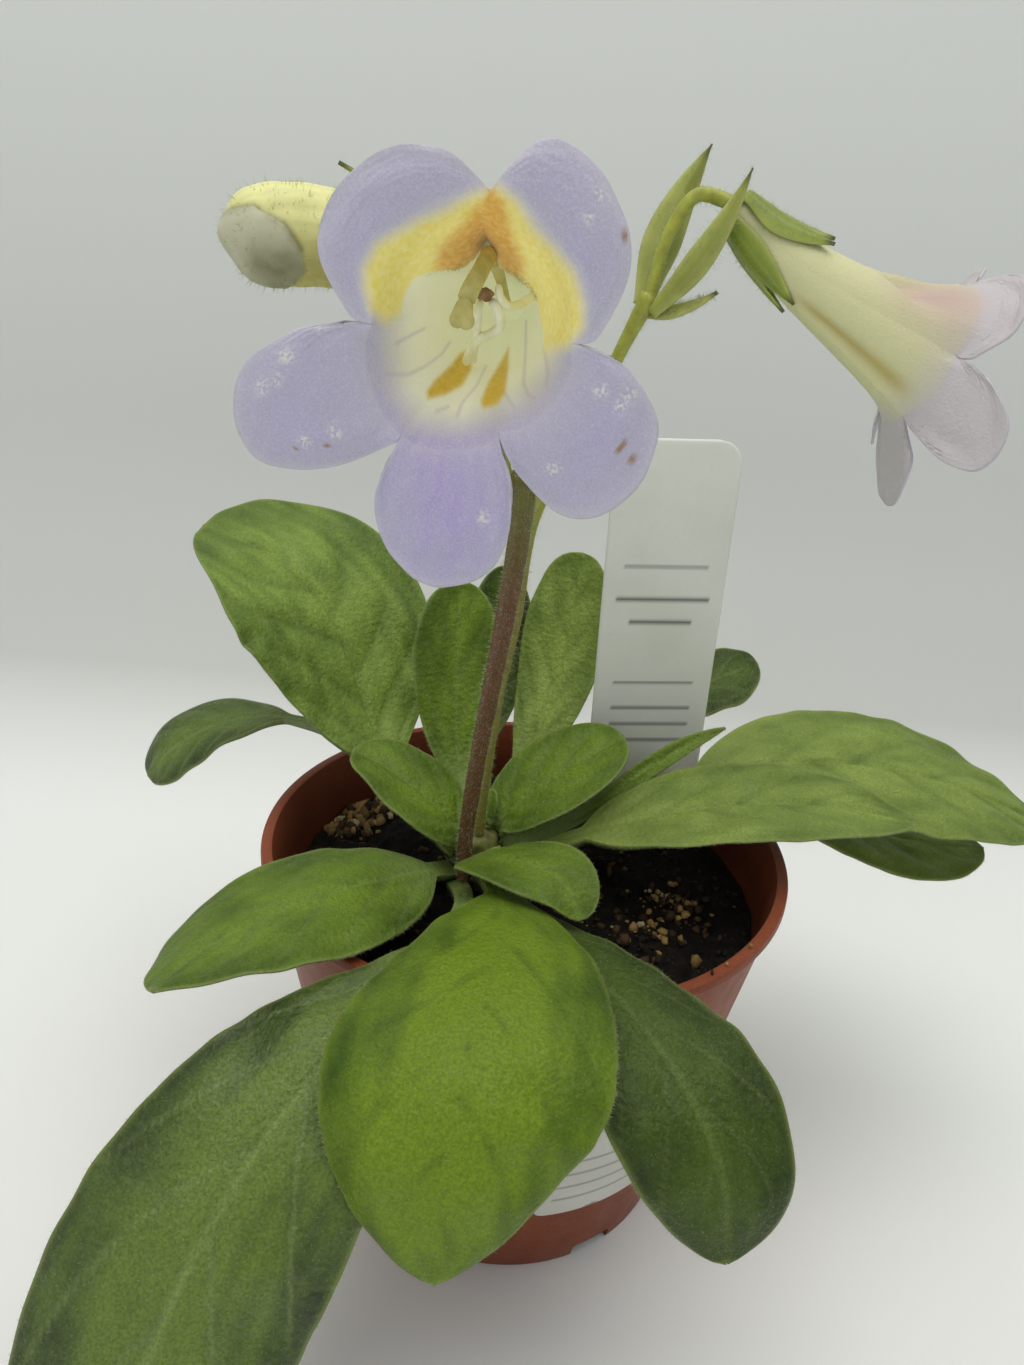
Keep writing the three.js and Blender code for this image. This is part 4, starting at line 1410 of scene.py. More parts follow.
FRONT_FLOWER = Flower(
    "front", ((-9, -33, 179.7), (-10, -41, 179.6), (-11, -51, 178), (-11.7, -60, 176.9)), (0, 0, 1),
    size=1, lean=0, sepal_turn=0, sepal_length=12, first_sepal_stand=0.6,
)
RIGHT_FLOWER = Flower(
    "right", ((20.3, -26.6, 193.2), (26.5, -27.5, 186.4), (39, -29.4, 182.1), (48.4, -28.4, 177.4)),
    (0.3, 0, 1), size=0.76, lean=34, sepal_turn=-14, sepal_length=13, first_sepal_stand=0.6,
    sepal_width=4.8, sepal_shift=(10, -24, 10, -4, -4), roof_drop=2.2,
)


@dataclass(frozen=True)
class PetalFinish(Finish):
    """Velvety petal: lavender with pale margins, and a cream throat with yellow and golden marks."""

    lavender: RGB = (196, 193, 212)
    violet: RGB = (182, 168, 224)
    pale: RGB = (214, 211, 220)
    cream: RGB = (246, 248, 230)
    back: RGB = (205, 199, 203)
    back_tube: RGB = (222, 222, 172)
    # pale speckle of the velvety cells, partly painted glints on them
    bloom: RGB = (232, 230, 240)
    streak: RGB = (196, 178, 206)
    yellow: RGB = (244, 226, 96)
    pale_yellow: RGB = (250, 238, 150)
    orange: RGB = (232, 172, 62)
    pale_orange: RGB = (246, 200, 100)
    gold: RGB = (232, 190, 34)
    pale_gold: RGB = (240, 206, 70)
    scar: RGB = (232, 230, 226)
    blemish: RGB = (168, 140, 112)
    blush: RGB = (200, 172, 166)
    gold_back: RGB = (190, 168, 92)
    # tint of the painted glow that stands in for daylight through the throat's wall
    daylight: RGB = (250, 252, 206)

    def base(self, g: Graph) -> NodeSocket:
        """Lavender, then throat colours, veins, marks and scars over it.

        Args:
            g: the material's graph.

        Returns:
            The colour's socket.
        """
        patches = g.mottle(120, 0.35, 0.65)
        heart = g.times(g.mask("heart"), g.between(patches, 0, 1, 0.75, 1.0))
        skin = g.blend(heart, self.lavender, self.violet)
        skin = g.blend(g.mask("margin"), skin, self.pale)
        # fine pale speckle: the velvet's own cells, with painted glints
        skin = g.blend(g.mottle(4600, 0.42, 0.72), skin, self.bloom, 0.36)
        skin = g.blend(g.mask("cream"), skin, self.cream)
        skin = g.blend(g.mask("streak"), skin, self.streak, 0.55)
        grit = g.mottle(1500, 0.35, 0.7, 2.0)
        yellow = g.blend(grit, self.yellow, self.pale_yellow)
        skin = g.blend(g.mask("yellow"), skin, yellow)
        orange = g.blend(grit, self.orange, self.pale_orange)
        skin = g.blend(g.mask("orange"), skin, orange)
        gold = g.blend(grit, self.gold, self.pale_gold)
        skin = g.blend(g.mask("gold"), skin, gold)
        scars = g.times(g.mask("scar"), g.mottle(2400, 0.48, 0.54))
        skin = g.blend(scars, skin, self.scar)
        skin = g.blend(g.mask("blemish"), skin, self.blemish)
        outside = g.blend(g.mask("tube"), self.back, self.back_tube)
        outside = g.blend(g.mask("blush"), outside, self.blush, 0.9)
        outside = g.blend(g.mask("gold_back"), outside, self.gold_back, 0.75)
        return g.blend(g.mask("outside"), skin, outside)

    def light_through(self, g: Graph) -> NodeSocket:
        """Painted glow in the throat, standing in for daylight that comes through its thin wall."""
        return g.blend(g.mask("glow"), BLACK, self.daylight)


@dataclass(frozen=True)
class Corolla:
    """The petals of an open flower: one thin sheet from the tube's back end to the edges of five lobes."""

    flower: Flower
    columns: int = 44
    cap_rows: int = 4
    tube_rows: int = 52
    lobe_rows: int = 44

    def wall(self, turn: Array, share: Array) -> Array:
        """Points of the tube's wall: a funnel whose roof sags beside a crease, with ridges on its floor.

        Args:
            turn: angles round the tube, in radians.
            share: 0 at its back end, 1 at the mouth.

        Returns:
            A point of the flower's own frame for each angle.
        """
        length = self.flower.path().length
        depth = (1 - share) * length
        radius = self.flower.tube_radius(share) * lerp(1, mouth_radius(turn) / MOUTH_RADIUS, share)
        radius = radius - 0.4
        above = bump(turned_from(turn, 95), 75) * smoothstep(0.2, 0.7, share)
        above = above * (1 - 0.6 * smoothstep(0.8, 1, share))
        radius = radius - self.flower.roof_drop * above
        deep = self.fold_depth(turn)
        fold = smoothstep(0.5, deep, depth) * (1 - smoothstep(deep + 0.5, deep + 2.6, depth))
        radius = radius - np.interp(turned_from(turn, 60), ROOF_TURNS, ROOF_SAG) * fold
        floor = turned_from(turn, -98)
        ridge = bump(floor, 8) + 0.75 * bump(floor + 38, 9) + 0.75 * bump(floor - 36, 9)
        radius = radius - 0.75 * ridge * smoothstep(1, 5, depth) * (1 - smoothstep(13, 20, depth))
        return polar(radius, turn, -depth)

    def fold_depth(self, turn: Array) -> Array:
        """How deep in the throat the roof's fold hangs, towards angles in radians."""
        return np.interp(turned_from(turn, 60), (60, 92, 110), (9.3, 5.8, 5.2))

    def lobe_spot(self, lobe: Lobe, edge: Array, reach: Array, along: Array, u: Array) -> Array:
        """Points of a lobe, from the mouth's edge to its free edge.

        Args:
            lobe: which one.
            edge: points of the mouth's edge.
            reach: from there to the free edge, flat.
            along: 0 at the mouth, 1 at the free edge.
            u: 0 to 1 between the two notches.

        Returns:
            A point of the flower's own frame for each share.
        """
        lean = math.radians(lobe.lean + self.flower.lean)
        out = norms(reach) * along
        flat = edge[:, :2] + reach * (along * math.cos(lean))[:, None]
        crown = 1 - (2 * u - 1) ** 2
        wave = 0.5 * np.sin(math.pi * along) * crown - 0.45 * along**3
        wave = wave + lobe.start_lift * bump(u, 0.2) * along + lobe.end_lift * bump(1 - u, 0.2) * along
        where = np.column_stack([u * 9, along * 5])
        wave = wave + 0.3 * ripples(lobe.start + "_lobe", where, 2.6) * along**1.5
        wave = wave + 0.05 * ripples(lobe.start + "_pucker", where, 0.5) * np.minimum(along * 4, 1)
        z = out * math.sin(lean) + wave * smoothstep(0.5, 8, norms(reach))
        return np.column_stack([flat, z])

    def sheet(self, lobe: Lobe, u: Array, run: Array) -> tuple[Array, Array]:
        """Points of one fifth of the corolla, and their distance in millimetres from its rim.

        Args:
            lobe: the lobe that this fifth ends in.
            u: 0 to 1 between its two notches.
            run: below 0 on the back cap, 0 to 1 on the tube, 1 to 2 on the lobe.

        Returns:
            The points, and how far each one is from the rim.
        """
        start = turn_of(lobe.start)
        span = (turn_of(lobe.end) - start) % TAU
        turn = start + span * u
        corners = [np.array(NOTCHES[n]) * NOTCH_OUTSET for n in (lobe.start, lobe.end)]
        outline = spline(np.array([corners[0], *lobe.outline, corners[1]], float), u)
        wobble = ripples(lobe.end + "_rim", np.column_stack([u * 12, u * 0]), 1.6)
        edge = self.wall(turn, np.ones(len(u)))
        reach = outline - edge[:, :2]
        reach = reach * (1 + 0.006 * wobble * smoothstep(0, 0.2, u) * smoothstep(0, 0.2, 1 - u))[:, None]
        long = norms(reach)
        bend = np.minimum(THROAT_ROUNDING, 0.42 * long)
        inward = np.maximum(1 - run, 0) * WALL_RUN
        outward = np.maximum(run - 1, 0) * long
        points = np.where(
            (run <= 1)[:, None],
            self.wall(turn, np.clip(run, 0, 1)),
            self.lobe_spot(lobe, edge, reach, np.clip(run - 1, 0, 1), u),
        )
        t = np.clip(np.where(run <= 1, bend - inward, bend + outward) / (2 * bend), 0, 1)[:, None]
        low = self.wall(turn, 1 - bend / WALL_RUN)
        high = self.lobe_spot(lobe, edge, reach, bend / long, u)
        rounded = (1 - t) ** 2 * low + 2 * t * (1 - t) * edge + t**2 * high
        near = ((inward < bend) & (outward < bend))[:, None]
        points = np.where(near, rounded, points)
        cap = np.clip(-run / CAP_SHARE, 0, 1)[:, None]
        points[:, :2] *= np.sqrt(np.maximum(1 - cap**2, 0))
        sides = np.minimum(u, 1 - u) * 14 * np.clip(run - 1, 0.02, 1) * 2 + 0.3
        rim = np.where(run > 1, np.minimum((2 - run) * long, sides), 9.0)
        return points, rim

    def mesh(self) -> Mesh:
        """The corolla's sheet, thickened, with each vertex's place in the flower's own frame kept.

        Returns:
            The closed mesh, in the flower's own frame.
        """
        bm = bmesh.new()
        names = ("fx", "fy", "fz", "rim", "run", "outside")
        layers = [bm.verts.layers.float.new(n) for n in names]
        rows = self.cap_rows + self.tube_rows + self.lobe_rows
        for lobe in LOBES:
            made = bmesh.ops.create_grid(bm, x_segments=self.columns, y_segments=rows, size=1)["verts"]
            u = np.array([(v.co.x + 1) / 2 for v in made])
            row = np.array([(v.co.y + 1) / 2 for v in made]) * rows - self.cap_rows
            on_lobe = 1 + (row - self.tube_rows) / self.lobe_rows
            run = np.where(row < self.tube_rows, row / self.tube_rows, on_lobe)
            run = np.where(row < 0, row / self.cap_rows * CAP_SHARE, run)
            inner = (run > 0) & (run < 1)
            run = np.where(inner, 1 - (1 - np.clip(run, 0, 1)) ** 1.25, run)
            points, rim = self.sheet(lobe, u, run)
            for vertex, spot, gap, at in zip(made, points, rim, run):
                vertex.co = spot
                vertex[layers[0]], vertex[layers[1]], vertex[layers[2]] = spot
                vertex[layers[3]], vertex[layers[4]] = gap, at
        bmesh.ops.remove_doubles(bm, verts=bm.verts[:], dist=0.004)
        bmesh.ops.recalc_face_normals(bm, faces=bm.faces[:])
        tube_face = min(bm.faces, key=lambda f: abs(f.calc_center_median().z + 15))
        middle = tube_face.calc_center_median()
        if tube_face.normal.x * middle.x + tube_face.normal.y * middle.y > 0:
            bmesh.ops.reverse_faces(bm, faces=bm.faces[:])
        before = set(bm.verts)
        bmesh.ops.solidify(bm, geom=bm.faces[:], thickness=PETAL_THICKNESS)
        for vertex in bm.verts:
            vertex[layers[5]] = 0.0 if vertex in before else 1.0
        return to_mesh(bm, self.flower.name + "_petals")

    def masks(self, mesh: Mesh) -> dict[str, Array]:
        """Where the petals have each of their colours.

        Args:
            mesh: the corolla's sheet.

        Returns:
            A mask for each colour, by name.
        """
        front = np.column_stack([channel(mesh, "fx"), channel(mesh, "fy")])
        depth, rim, run = -channel(mesh, "fz"), channel(mesh, "rim"), channel(mesh, "run")
        turn = np.arctan2(front[:, 1], front[:, 0])
        reach = norms(front)
        marks = ThroatMarks()
        eye = np.array(marks.eye)
        seen = eye[:2] + (front - eye[:2]) * (eye[2] / (eye[2] + np.maximum(depth, 0)))[:, None]
        deep = self.fold_depth(turn)
        before = 1 - smoothstep(deep + 0.1, deep + 0.8, depth)
        hood = inside(seen, marks.hood, 2.1)
        core = inside(seen, marks.core, 1.6)
        crease = bump(away_from(seen, marks.crease), 0.35)
        gold = np.maximum(inside(seen, marks.left_stripe, 0.7), inside(seen, marks.right_stripe, 0.7))
        veins = np.max([bump(away_from(seen, line), 0.2) for line in marks.veins], axis=0)
        low = smoothstep(-4, 4, -front[:, 1])
        inner = 1 - channel(mesh, "outside")
        throat = 1 - smoothstep(lerp(-3.4, -4.4, low), lerp(0.3, -0.3, low), reach - mouth_radius(turn))
        grooves = np.abs(np.sin(turn * 22 + 0.4 * np.sin(reach))) ** 4
        streaks = grooves * smoothstep(0.95, 1.1, run) * (1 - smoothstep(1.3, 1.9, run))
        scars = np.max([bump(norms(front - s[:2]), s[2]) for s in np.array(marks.scars)], axis=0)
        spots = np.max([bump(norms(front - s[:2]), s[2]) for s in np.array(marks.tan)], axis=0)
        heart = bump(norms((front - np.array((-2.5, -18.5))) * (1, 0.7)), 8.5)
        heart = np.maximum(heart * (0.7 + 0.3 * grooves), 0.4 * bump(rim - 7, 5.0) * (run > 1))
        gold_line = bump(turned_from(turn, -138), 7) * smoothstep(0.35, 0.5, run)
        gold_line = gold_line * (1 - smoothstep(0.85, 1, run))
        return {
            "heart": heart,
            "margin": 0.45 * bump(rim, 0.9) * (run > 1),
            "cream": np.maximum(throat, 0.7 * inside(seen, marks.hood, 3.2) * before),
            "streak": np.clip(veins * (depth > -0.5) + 0.2 * streaks * low, 0, 1),
            "yellow": hood * before,
            "orange": np.clip(core + 0.4 * crease, 0, 1) * before,
            "gold": gold * smoothstep(0.3, 2.0, depth),
            # glow: where the throat gets its painted glow, standing in for light through its thin wall
            "glow": np.maximum(throat, 0.5 * hood * before) * (1 - 0.6 * core) * (1 - 0.7 * gold) * inner,
            "scar": np.clip(scars * 1.4, 0, 1) * (run > 1),
            "blemish": smoothstep(0.35, 0.6, spots) * (run > 1),
            "tube": 1 - smoothstep(0.82, 1.12, run),
            "blush": bump(turned_from(turn, 124), 42) * bump(run - 0.86, 0.2),
            "gold_back": gold_line,
        }

    def build(self) -> Object:
        """The corolla with its marks.

        Returns:
            The piece's object.
        """
        mesh = self.mesh()
        paint(mesh, **self.masks(mesh))
        place(mesh, self.flower.put(coordinates(mesh)))
        tidy(mesh)
        return piece(mesh, FINISHES["petal"], "petal_lavender", self.flower.name + "_corolla")


@dataclass(frozen=True)
class ThroatMarks:
    """Lines and outlines of the throat's marks, in millimetres.

    They are drawn flat across the mouth, as they line up for an eye at a fixed spot in front of it.
    """

    eye: Triple = (15.0, 17.9, 105.0)
    hood: tuple[Pair, ...] = (
        (1.9, 14.0), (-0.7, 13.2), (-3.6, 11.5), (-6.0, 10.5), (-8.5, 9.2), (-10.4, 8.1), (-11.8, 5.7),
        (-11.8, 3.8), (-11.2, 1.8), (-9.7, 0.6), (-7.7, 1.6), (-6.0, 3.1), (-5.0, 3.4), (-3.4, 4.0),
        (-0.5, 4.0), (4.4, 2.6), (5.6, 1.0), (7.0, -1.2), (8.0, -1.1), (10, -0.4), (11.4, 1.6),
        (11.2, 3.8), (10, 6.7),
        (8, 8.6), (5.6, 10.6), (3.7, 13),
    )
    core: tuple[Pair, ...] = (
        (1.2, 13.6), (-1.3, 10.9), (-3.9, 8.2), (-4.5, 5.8), (-0.9, 5.9), (0.8, 8), (2.2, 6.8), (4.2, 5.2),
        (4.9, 7.1), (3.6, 9.6), (2.5, 12.9),
    )
    crease: tuple[Pair, ...] = ((1.2, 13.8), (1.4, 11.7), (1.4, 9.6))
    left_stripe: tuple[Pair, ...] = (
        (-0.1, -1.3), (-1.7, -2.1), (-2.6, -3.4), (-4.3, -5.1), (-5.2, -6.4), (-5.0, -7.2), (-3.1, -6.6),
        (-1.2, -5.4), (-0.4, -3.7),
    )
    right_stripe: tuple[Pair, ...] = (
        (3.5, -1.0), (2.7, -2.7), (1.5, -5.1), (0.9, -6.9), (1.2, -7.7), (2.7, -7.2), (3.5, -5.9),
        (3.7, -3.2),
    )
    veins: tuple[tuple[Pair, ...], ...] = (
        ((-2.8, -1.0), (-3.6, -2.3), (-5.3, -3.7), (-7.2, -4.7), (-9.7, -4.9)),
        ((-5.5, 0.2), (-8.5, -1.5)),
        ((1.2, -3.2), (0.3, -5.4), (-1.2, -7.3), (-1.7, -8.8)),
        ((-2.8, -7.9), (-4.1, -8.5)),
        ((5.1, 1.9), (5.4, -1.5), (5.5, -4.7), (6.1, -5.9), (6.8, -6.1)),
        ((3.5, -5.9), (4.6, -7.3)),
        ((7.5, -1.1), (8.1, -3.4), (8.0, -4.8)),
    )
    scars: tuple[Triple, ...] = (
        (-16.9, -0.1, 0.7), (-20.7, -3.6, 0.9), (-21.8, -6.2, 0.6), (-23.6, -7.1, 0.7), (12.1, 14, 0.6),
        (13.9, -4.6, 0.7), (17, -4.8, 0.8), (16.2, -6.2, 0.6), (1.9, -19.8, 0.7), (9.5, -13.5, 0.7),
        (-19, -12.8, 0.7), (-15.5, -11.5, 0.7), (11, 12, 0.5),
    )
    tan: tuple[Triple, ...] = (
        (15.0, 10.1, 0.55), (15.5, 13.0, 0.45), (16.8, -10.4, 0.6), (18.4, -11.5, 0.6), (-16.5, -13.0, 0.35),
        (-20.1, -13.9, 0.3),
    )


@dataclass(frozen=True)
class FleshFinish(Finish):
    """Soft even flesh of a style, filament or anther in two close colours."""

    light: RGB = (226, 222, 158)
    deep: RGB = (196, 186, 108)

    def base(self, g: Graph) -> NodeSocket:
        """Light flesh with deeper patches."""
        patches = g.mottle(600, 0.35, 0.7)
        return g.blend(patches, self.light, self.deep)


def merged(name: str, meshes: list[Mesh]) -> Mesh:
    """Closed meshes put together as one, without what each vertex carried.

    Args:
        name: the new mesh's name.
        meshes: the closed meshes.

    Returns:
        The new mesh.
    """
    bm = bmesh.new()
    for mesh in meshes:
        for attribute in list(mesh.attributes):
            if not attribute.is_internal and attribute.name not in ("position", "sharp_face"):
                if not attribute.is_required:
                    mesh.attributes.remove(attribute)
        bm.from_mesh(mesh)
    return to_mesh(bm, name)


@dataclass(frozen=True)
class FlowerHeart:
    """The pistil and stamens in the throat, drawn in the flower's own frame."""

    flower: Flower

    def rod(self, name: str, points: Any, radii: Pair, flat: float = 1.0) -> Mesh:
        """A soft rod through points of the flower's frame, squeezed flat from front to back.

        Args:
            name: the mesh's name.
            points: what it runs through.
            radii: at its start and its end.
            flat: its depth as a share of its width.

        Returns:
            The rod's mesh.
        """
        spots = np.array(points, float)
        spots[:, 1] -= 1.3 * self.flower.roof_drop * smoothstep(1.5, 6, spots[:, 1])
        spots = self.flower.put(spots)
        scaled = (radii[0] * self.flower.size, radii[1] * self.flower.size)
        rod = Stalk(name, tuple(map(tuple, spots)), scaled, tuck=0)
        mesh, along, turn = tube(name, 44, 14)
        skin = rod.surface(along, turn)
        centre = (skin + rod.surface(along, turn + math.pi)) / 2
        facing = self.flower.path().tangent(np.ones(1))[0]
        off = skin - centre
        off = off - np.outer(off @ facing, facing) * (1 - flat)
        place(mesh, centre + off)
        tidy(mesh, weld=True)
        return mesh

    def build(self) -> None:
        """The style with its two-lobed stigma, two bent filaments and a third loop, and the anthers."""
        name = self.flower.name
        back = 1.5 - self.flower.path().length
        style = [(0, 0, back), (0.1, 4.5, -16), (0.1, 7.0, -9), (0.2, 6.9, -6), (-0.25, 5.6, -3.6),
                 (-1.0, 3.9, -2.0), (-1.4, 2.7, -1.3)]
        left = [(-1.2, 3.3, -1.6), (-1.75, 1.95, -0.9), (-2.1, 1.1, -0.6), (-2.4, 0.55, -0.4)]
        right = [(-1.3, 3.3, -1.6), (-1.2, 1.95, -0.9), (-0.95, 1.1, -0.6), (-0.65, 0.4, -0.4)]
        rods = [
            self.rod("style", style, (0.5, 1.05), 0.4),
            self.rod("stigma_left", left, (0.85, 0.85), 0.35),
            self.rod("stigma_right", right, (0.85, 0.85), 0.35),
        ]
        mesh = merged(name + "_stigma", rods)
        piece(mesh, FINISHES["stigma"], "stigma_green", name + "_pistil")
        filaments = [
            [(-0.1, 3.0, -5.0), (-0.4, 1.7, -5.0), (-0.6, 0, -6.0), (-1.35, -3.2, -9), (-2.0, -5.3, -12)],
            [(0.8, 3.1, -4.6), (1.85, 1.85, -4.6), (2.1, 0.3, -5.4), (0.75, -1.0, -6.2), (-0.5, -1.6, -7.0),
             (-1.9, -3.6, -9.5), (-2.9, -5.6, -12.5)],
            [(1.75, 4.7, -4.4), (2.05, 3.3, -4.5), (2.95, 2.3, -5.5), (4.2, 2.45, -7.5), (5.4, 3.2, -9.5)],
        ]
        radii = [(0.45, 0.5), (0.55, 0.55), (0.45, 0.5)]
        rods = [self.rod(f"filament_{i}", f, r) for i, (f, r) in enumerate(zip(filaments, radii))]
        mesh = merged(name + "_filaments", rods)
        piece(mesh, FINISHES["filament"], "stigma_green", name + "_stamens")
        blobs = []
        for i, (spot, size) in enumerate((((0.55, 3.55, -4.0), 0.8), ((-0.25, 3.45, -4.4), 0.55))):
            bm = bmesh.new()
            bmesh.ops.create_icosphere(bm, subdivisions=3, radius=size * self.flower.size)
            blob = to_mesh(bm, f"anther_{i}")
            points = coordinates(blob)
            points = points * (1 + 0.18 * ripples(f"anther_{i}", points, 0.9))[:, None] * (1.0, 0.8, 0.9)
            place(blob, points + self.flower.put(np.array([spot]))[0])
            blobs.append(blob)
        mesh = merged(name + "_anthers", blobs)
        tidy(mesh)
        piece(mesh, FINISHES["anther"], "anther_brown", name + "_stamens")


CUP_RIM = 0.92  # how far along a calyx cup's skin its rim is


@dataclass(frozen=True)
class Calyx:
    """The small cup behind a flower or bud and its five sepals."""

    flower: Flower
    radii: tuple[float, ...] = ()
    count: int = 5
    stand: float = 0.4
    thickness: float = 0.5

    def radius(self, share: Array) -> Array:
        """Radius of what the sepals lie on.

        Args:
            share: of the tube's length.

        Returns:
            Millimetres for each share.
        """
        if not self.radii:
            return self.flower.tube_radius(share)
        return np.interp(np.clip(share, 0, 1), np.linspace(0, 1, len(self.radii)), self.radii)

    def sepal_path(self, i: int) -> tuple[Path, Array]:
        """Where a sepal lies.

        Args:
            i: its number, from 0.

        Returns:
            Its midline, and the way that its face looks.
        """
        length = self.flower.path().length
        angle = math.radians(self.flower.sepal_turn + 90 + 360 * i / self.count + self.flower.sepal_shift[i])
        stand = self.flower.first_sepal_stand if i == 0 else self.stand
        spots = []
        for share, tuck in ((-0.9, -0.5), (0, 0), (0.35, 0), (0.7, 0), (1, 0)):
            reach = share if share < 0 else share * self.flower.sepal_length
            radius = float(self.radius(np.array(max(reach, 0) / length)))
            radius = radius + 0.8 + stand * max(share, 0) ** 2 + tuck
            spots.append((radius * math.cos(angle), radius * math.sin(angle), reach - length))
        placed = self.flower.put(np.array(spots))
        ends = self.flower.put(np.array([(math.cos(angle), math.sin(angle), -length), (0, 0, -length)]))
        return Path.through(placed), unit(ends[0] - ends[1])

    def build(self) -> None:
        """The cup and the sepals, each a piece."""
        name = self.flower.name
        length = self.flower.path().length
        for i in range(self.count):
            path, facing = self.sepal_path(i)
            mesh, along, across, through = slab(f"{name}_sepal_{i + 1}", 44, 12)
            width = self.flower.sepal_width
            place(mesh, slim_blade(path, width, facing, self.thickness, along, across, through))
            paint_blade(mesh)
            tidy(mesh)
            piece(mesh, FINISHES["sepal"], "bract_green", name + "_calyx")
        mesh, along, turn = tube(name + "_cup", 14, 28)
        rim = float(self.radius(np.array(0.0))) + 0.75
        radius = rim * np.sin(np.clip(along, 0, 1) * math.pi / 2) ** 0.6
        radius = np.where(along > CUP_RIM, radius * (1 - (along - CUP_RIM) / 0.08), radius)
        z = -length - 0.3 - 1.3 * (1 - np.minimum(along / CUP_RIM, 1)) ** 1.2
        place(mesh, self.flower.put(polar(radius, turn, z)))
        paint(mesh, edge=along * 0, tip=along * 0, vein=along * 0)
        tidy(mesh, weld=True)
        piece(mesh, FINISHES["sepal"], "bract_green", name + "_calyx")


@dataclass(frozen=True)
class BudFinish(Finish):
    """Unopened petals: yellowish cream above, painted olive shade below, and a greyer folded lobe with
    painted shade.
    """

    top: RGB = (244, 244, 172)
    # below: painted shade on the bud's underside
    below: RGB = (206, 198, 128)
    folded: RGB = (214, 214, 184)
    line: RGB = (150, 144, 92)
    # painted shade on the folded lobe's lower part
    bruise: RGB = (128, 124, 92)
    # painted shade in the crease along the folded lobe's edge
    seam: RGB = (96, 92, 66)

    def base(self, g: Graph) -> NodeSocket:
        """Cream to painted olive shade, with fine lengthwise lines, then the folded lobe and a painted shade
        line at its edge.

        Args:
            g: the material's graph.

        Returns:
            The colour's socket.
        """
        patches = g.mottle(180, 0.3, 0.7)
        # the lower part takes painted olive shade
        share = g.maths("ADD", g.mask("low"), g.times(patches, 0.25))
        skin = g.blend(share, self.top, self.below)
        skin = g.blend(g.mask("line"), skin, self.line, 0.14)
        # painted shade on the folded lobe's lower part
        bruise = g.times(g.mottle(160, 0.2, 0.6, 2.0), g.mask("low"))
        lobe = g.blend(bruise, self.folded, self.bruise)
        skin = g.blend(g.mask("fold"), skin, lobe)
        # the dark line is painted shade in the crease along the folded lobe's edge
        return g.blend(g.mask("edge"), skin, self.seam, 0.7)


BUD = Flower("bud", ((-17.5, -33, 184.4), (-26, -36.6, 185.6), (-35, -40.8, 186.4), (-43.8, -44.2, 185.3)),
             (0, 0, 1), size=1, lean=0, sepal_turn=0, sepal_length=14.5, first_sepal_stand=2.2)
BUD_RADII = (1.9, 3.0, 4.3, 5.1, 5.5, 5.8, 5.8, 4.9, 1.9)


class Bud:
    """The closed bud: plump petals with one lobe folded over the others at the tip."""

    # The folded lobe's outline and a crease above it, seen from the side: back from the tip, and up.
    FOLD = (
        (0.5, 1.5), (-2.1, 2.4), (-4, 2.7), (-5.2, 2), (-7, 1), (-8.8, -1.6), (-9.5, -4), (-7, -7.5), (1, -7),
    )
    CREASE = ((-4.6, 2.4), (-5.4, 4.4))

    def build(self) -> Object:
        """The bud as a closed skin.

        Returns:
            The piece's object.
        """
        mesh, along, turn = tube("bud_petals", 130, 90)
        length = BUD.path().length
        profile = spline(np.array(BUD_RADII, float)[:, None].repeat(2, axis=1), along)[:, 0]
        ends = np.sqrt(np.clip(1 - (1 - np.clip(along / 0.03, 0, 1)) ** 2, 0, 1))
        tip = np.sqrt(np.clip(1 - (1 - np.clip((1 - along) / 0.09, 0, 1)) ** 2.2, 0, 1))
        radius = profile * ends * np.where(along > 0.9, tip, 1)
        x, y, z = radius * np.cos(turn), radius * np.sin(turn), (along - 1) * length
        side = np.column_stack([z, y])
        fold = inside(side, self.FOLD, 0.35) * (x > -1.5)
        seam = away_from(side, self.FOLD[:6])
        lines = np.abs(np.sin(turn * 9)) ** 10
        swell = 0.42 * fold * bump(np.minimum(z + 4, 0), 9) - 0.25 * bump(away_from(side, self.CREASE), 0.5)
        swell = swell + 0.12 * ripples("bud", np.column_stack([z, y, x]), 4.0) - 0.05 * lines
        radius = radius + swell * ends * smoothstep(0.0, 0.06, 1 - along)
        place(mesh, BUD.put(polar(radius, turn, z)))
        paint(
            mesh,
            # low: where the bud takes its painted shade, on its underside
            low=smoothstep(2.0, -4.5, y) * 0.9,
            line=lines,
            fold=fold,
            # edge: the painted shade line in the crease along the folded lobe's edge
            edge=bump(seam, 0.42) * (x > 0) * (1 - 0.4 * fold),
        )
        tidy(mesh, weld=True)
        return piece(mesh, FINISHES["bud"], "bud_cream", "bud_corolla")


# ---------- pot, soil, tag and label ----------

POT_HEIGHT = 79.5
POT_RIM_RADIUS = 52.5
POT_BASE_RADIUS = 36.5
POT_WALL = 1.2
SOIL_LEVEL = 66.5


def pot_radius(height: Any) -> Any:
    """Outer radius of the pot's wall at a height, below the lip."""
    return lerp(POT_BASE_RADIUS, POT_RIM_RADIUS - 1, height / POT_HEIGHT)


@dataclass(frozen=True)
class PotFinish(Finish):
    """Satin terracotta plastic, slightly uneven, with a few splashes of dried soil, and painted shade inside.
    """

    clay: RGB = (142, 74, 46)
    shade: RGB = (122, 58, 34)
    dust: RGB = (164, 112, 80)
    # inner: painted shade on the inner wall
    inner: RGB = (64, 26, 14)

    def base(self, g: Graph) -> NodeSocket:
        """Clay colour with soft shade, painted shade on the inner wall and thin dusty spots.

        Args:
            g: the material's graph.

        Returns:
            The colour's socket.
        """
        skin = g.blend(g.mottle(26, 0.3, 0.7), self.clay, self.shade)
        skin = g.blend(g.mottle(1400, 0.4, 0.75), skin, self.dust, 0.18)
        # painted shade on the inner wall
        skin = g.blend(g.mask("inside"), skin, self.inner, 0.6)
        spots = g.flecks(170, 0.16)
        near = g.mottle(42, 0.56, 0.7, 2.0)
        return g.blend(g.times(spots, near), skin, self.dust, 0.5)


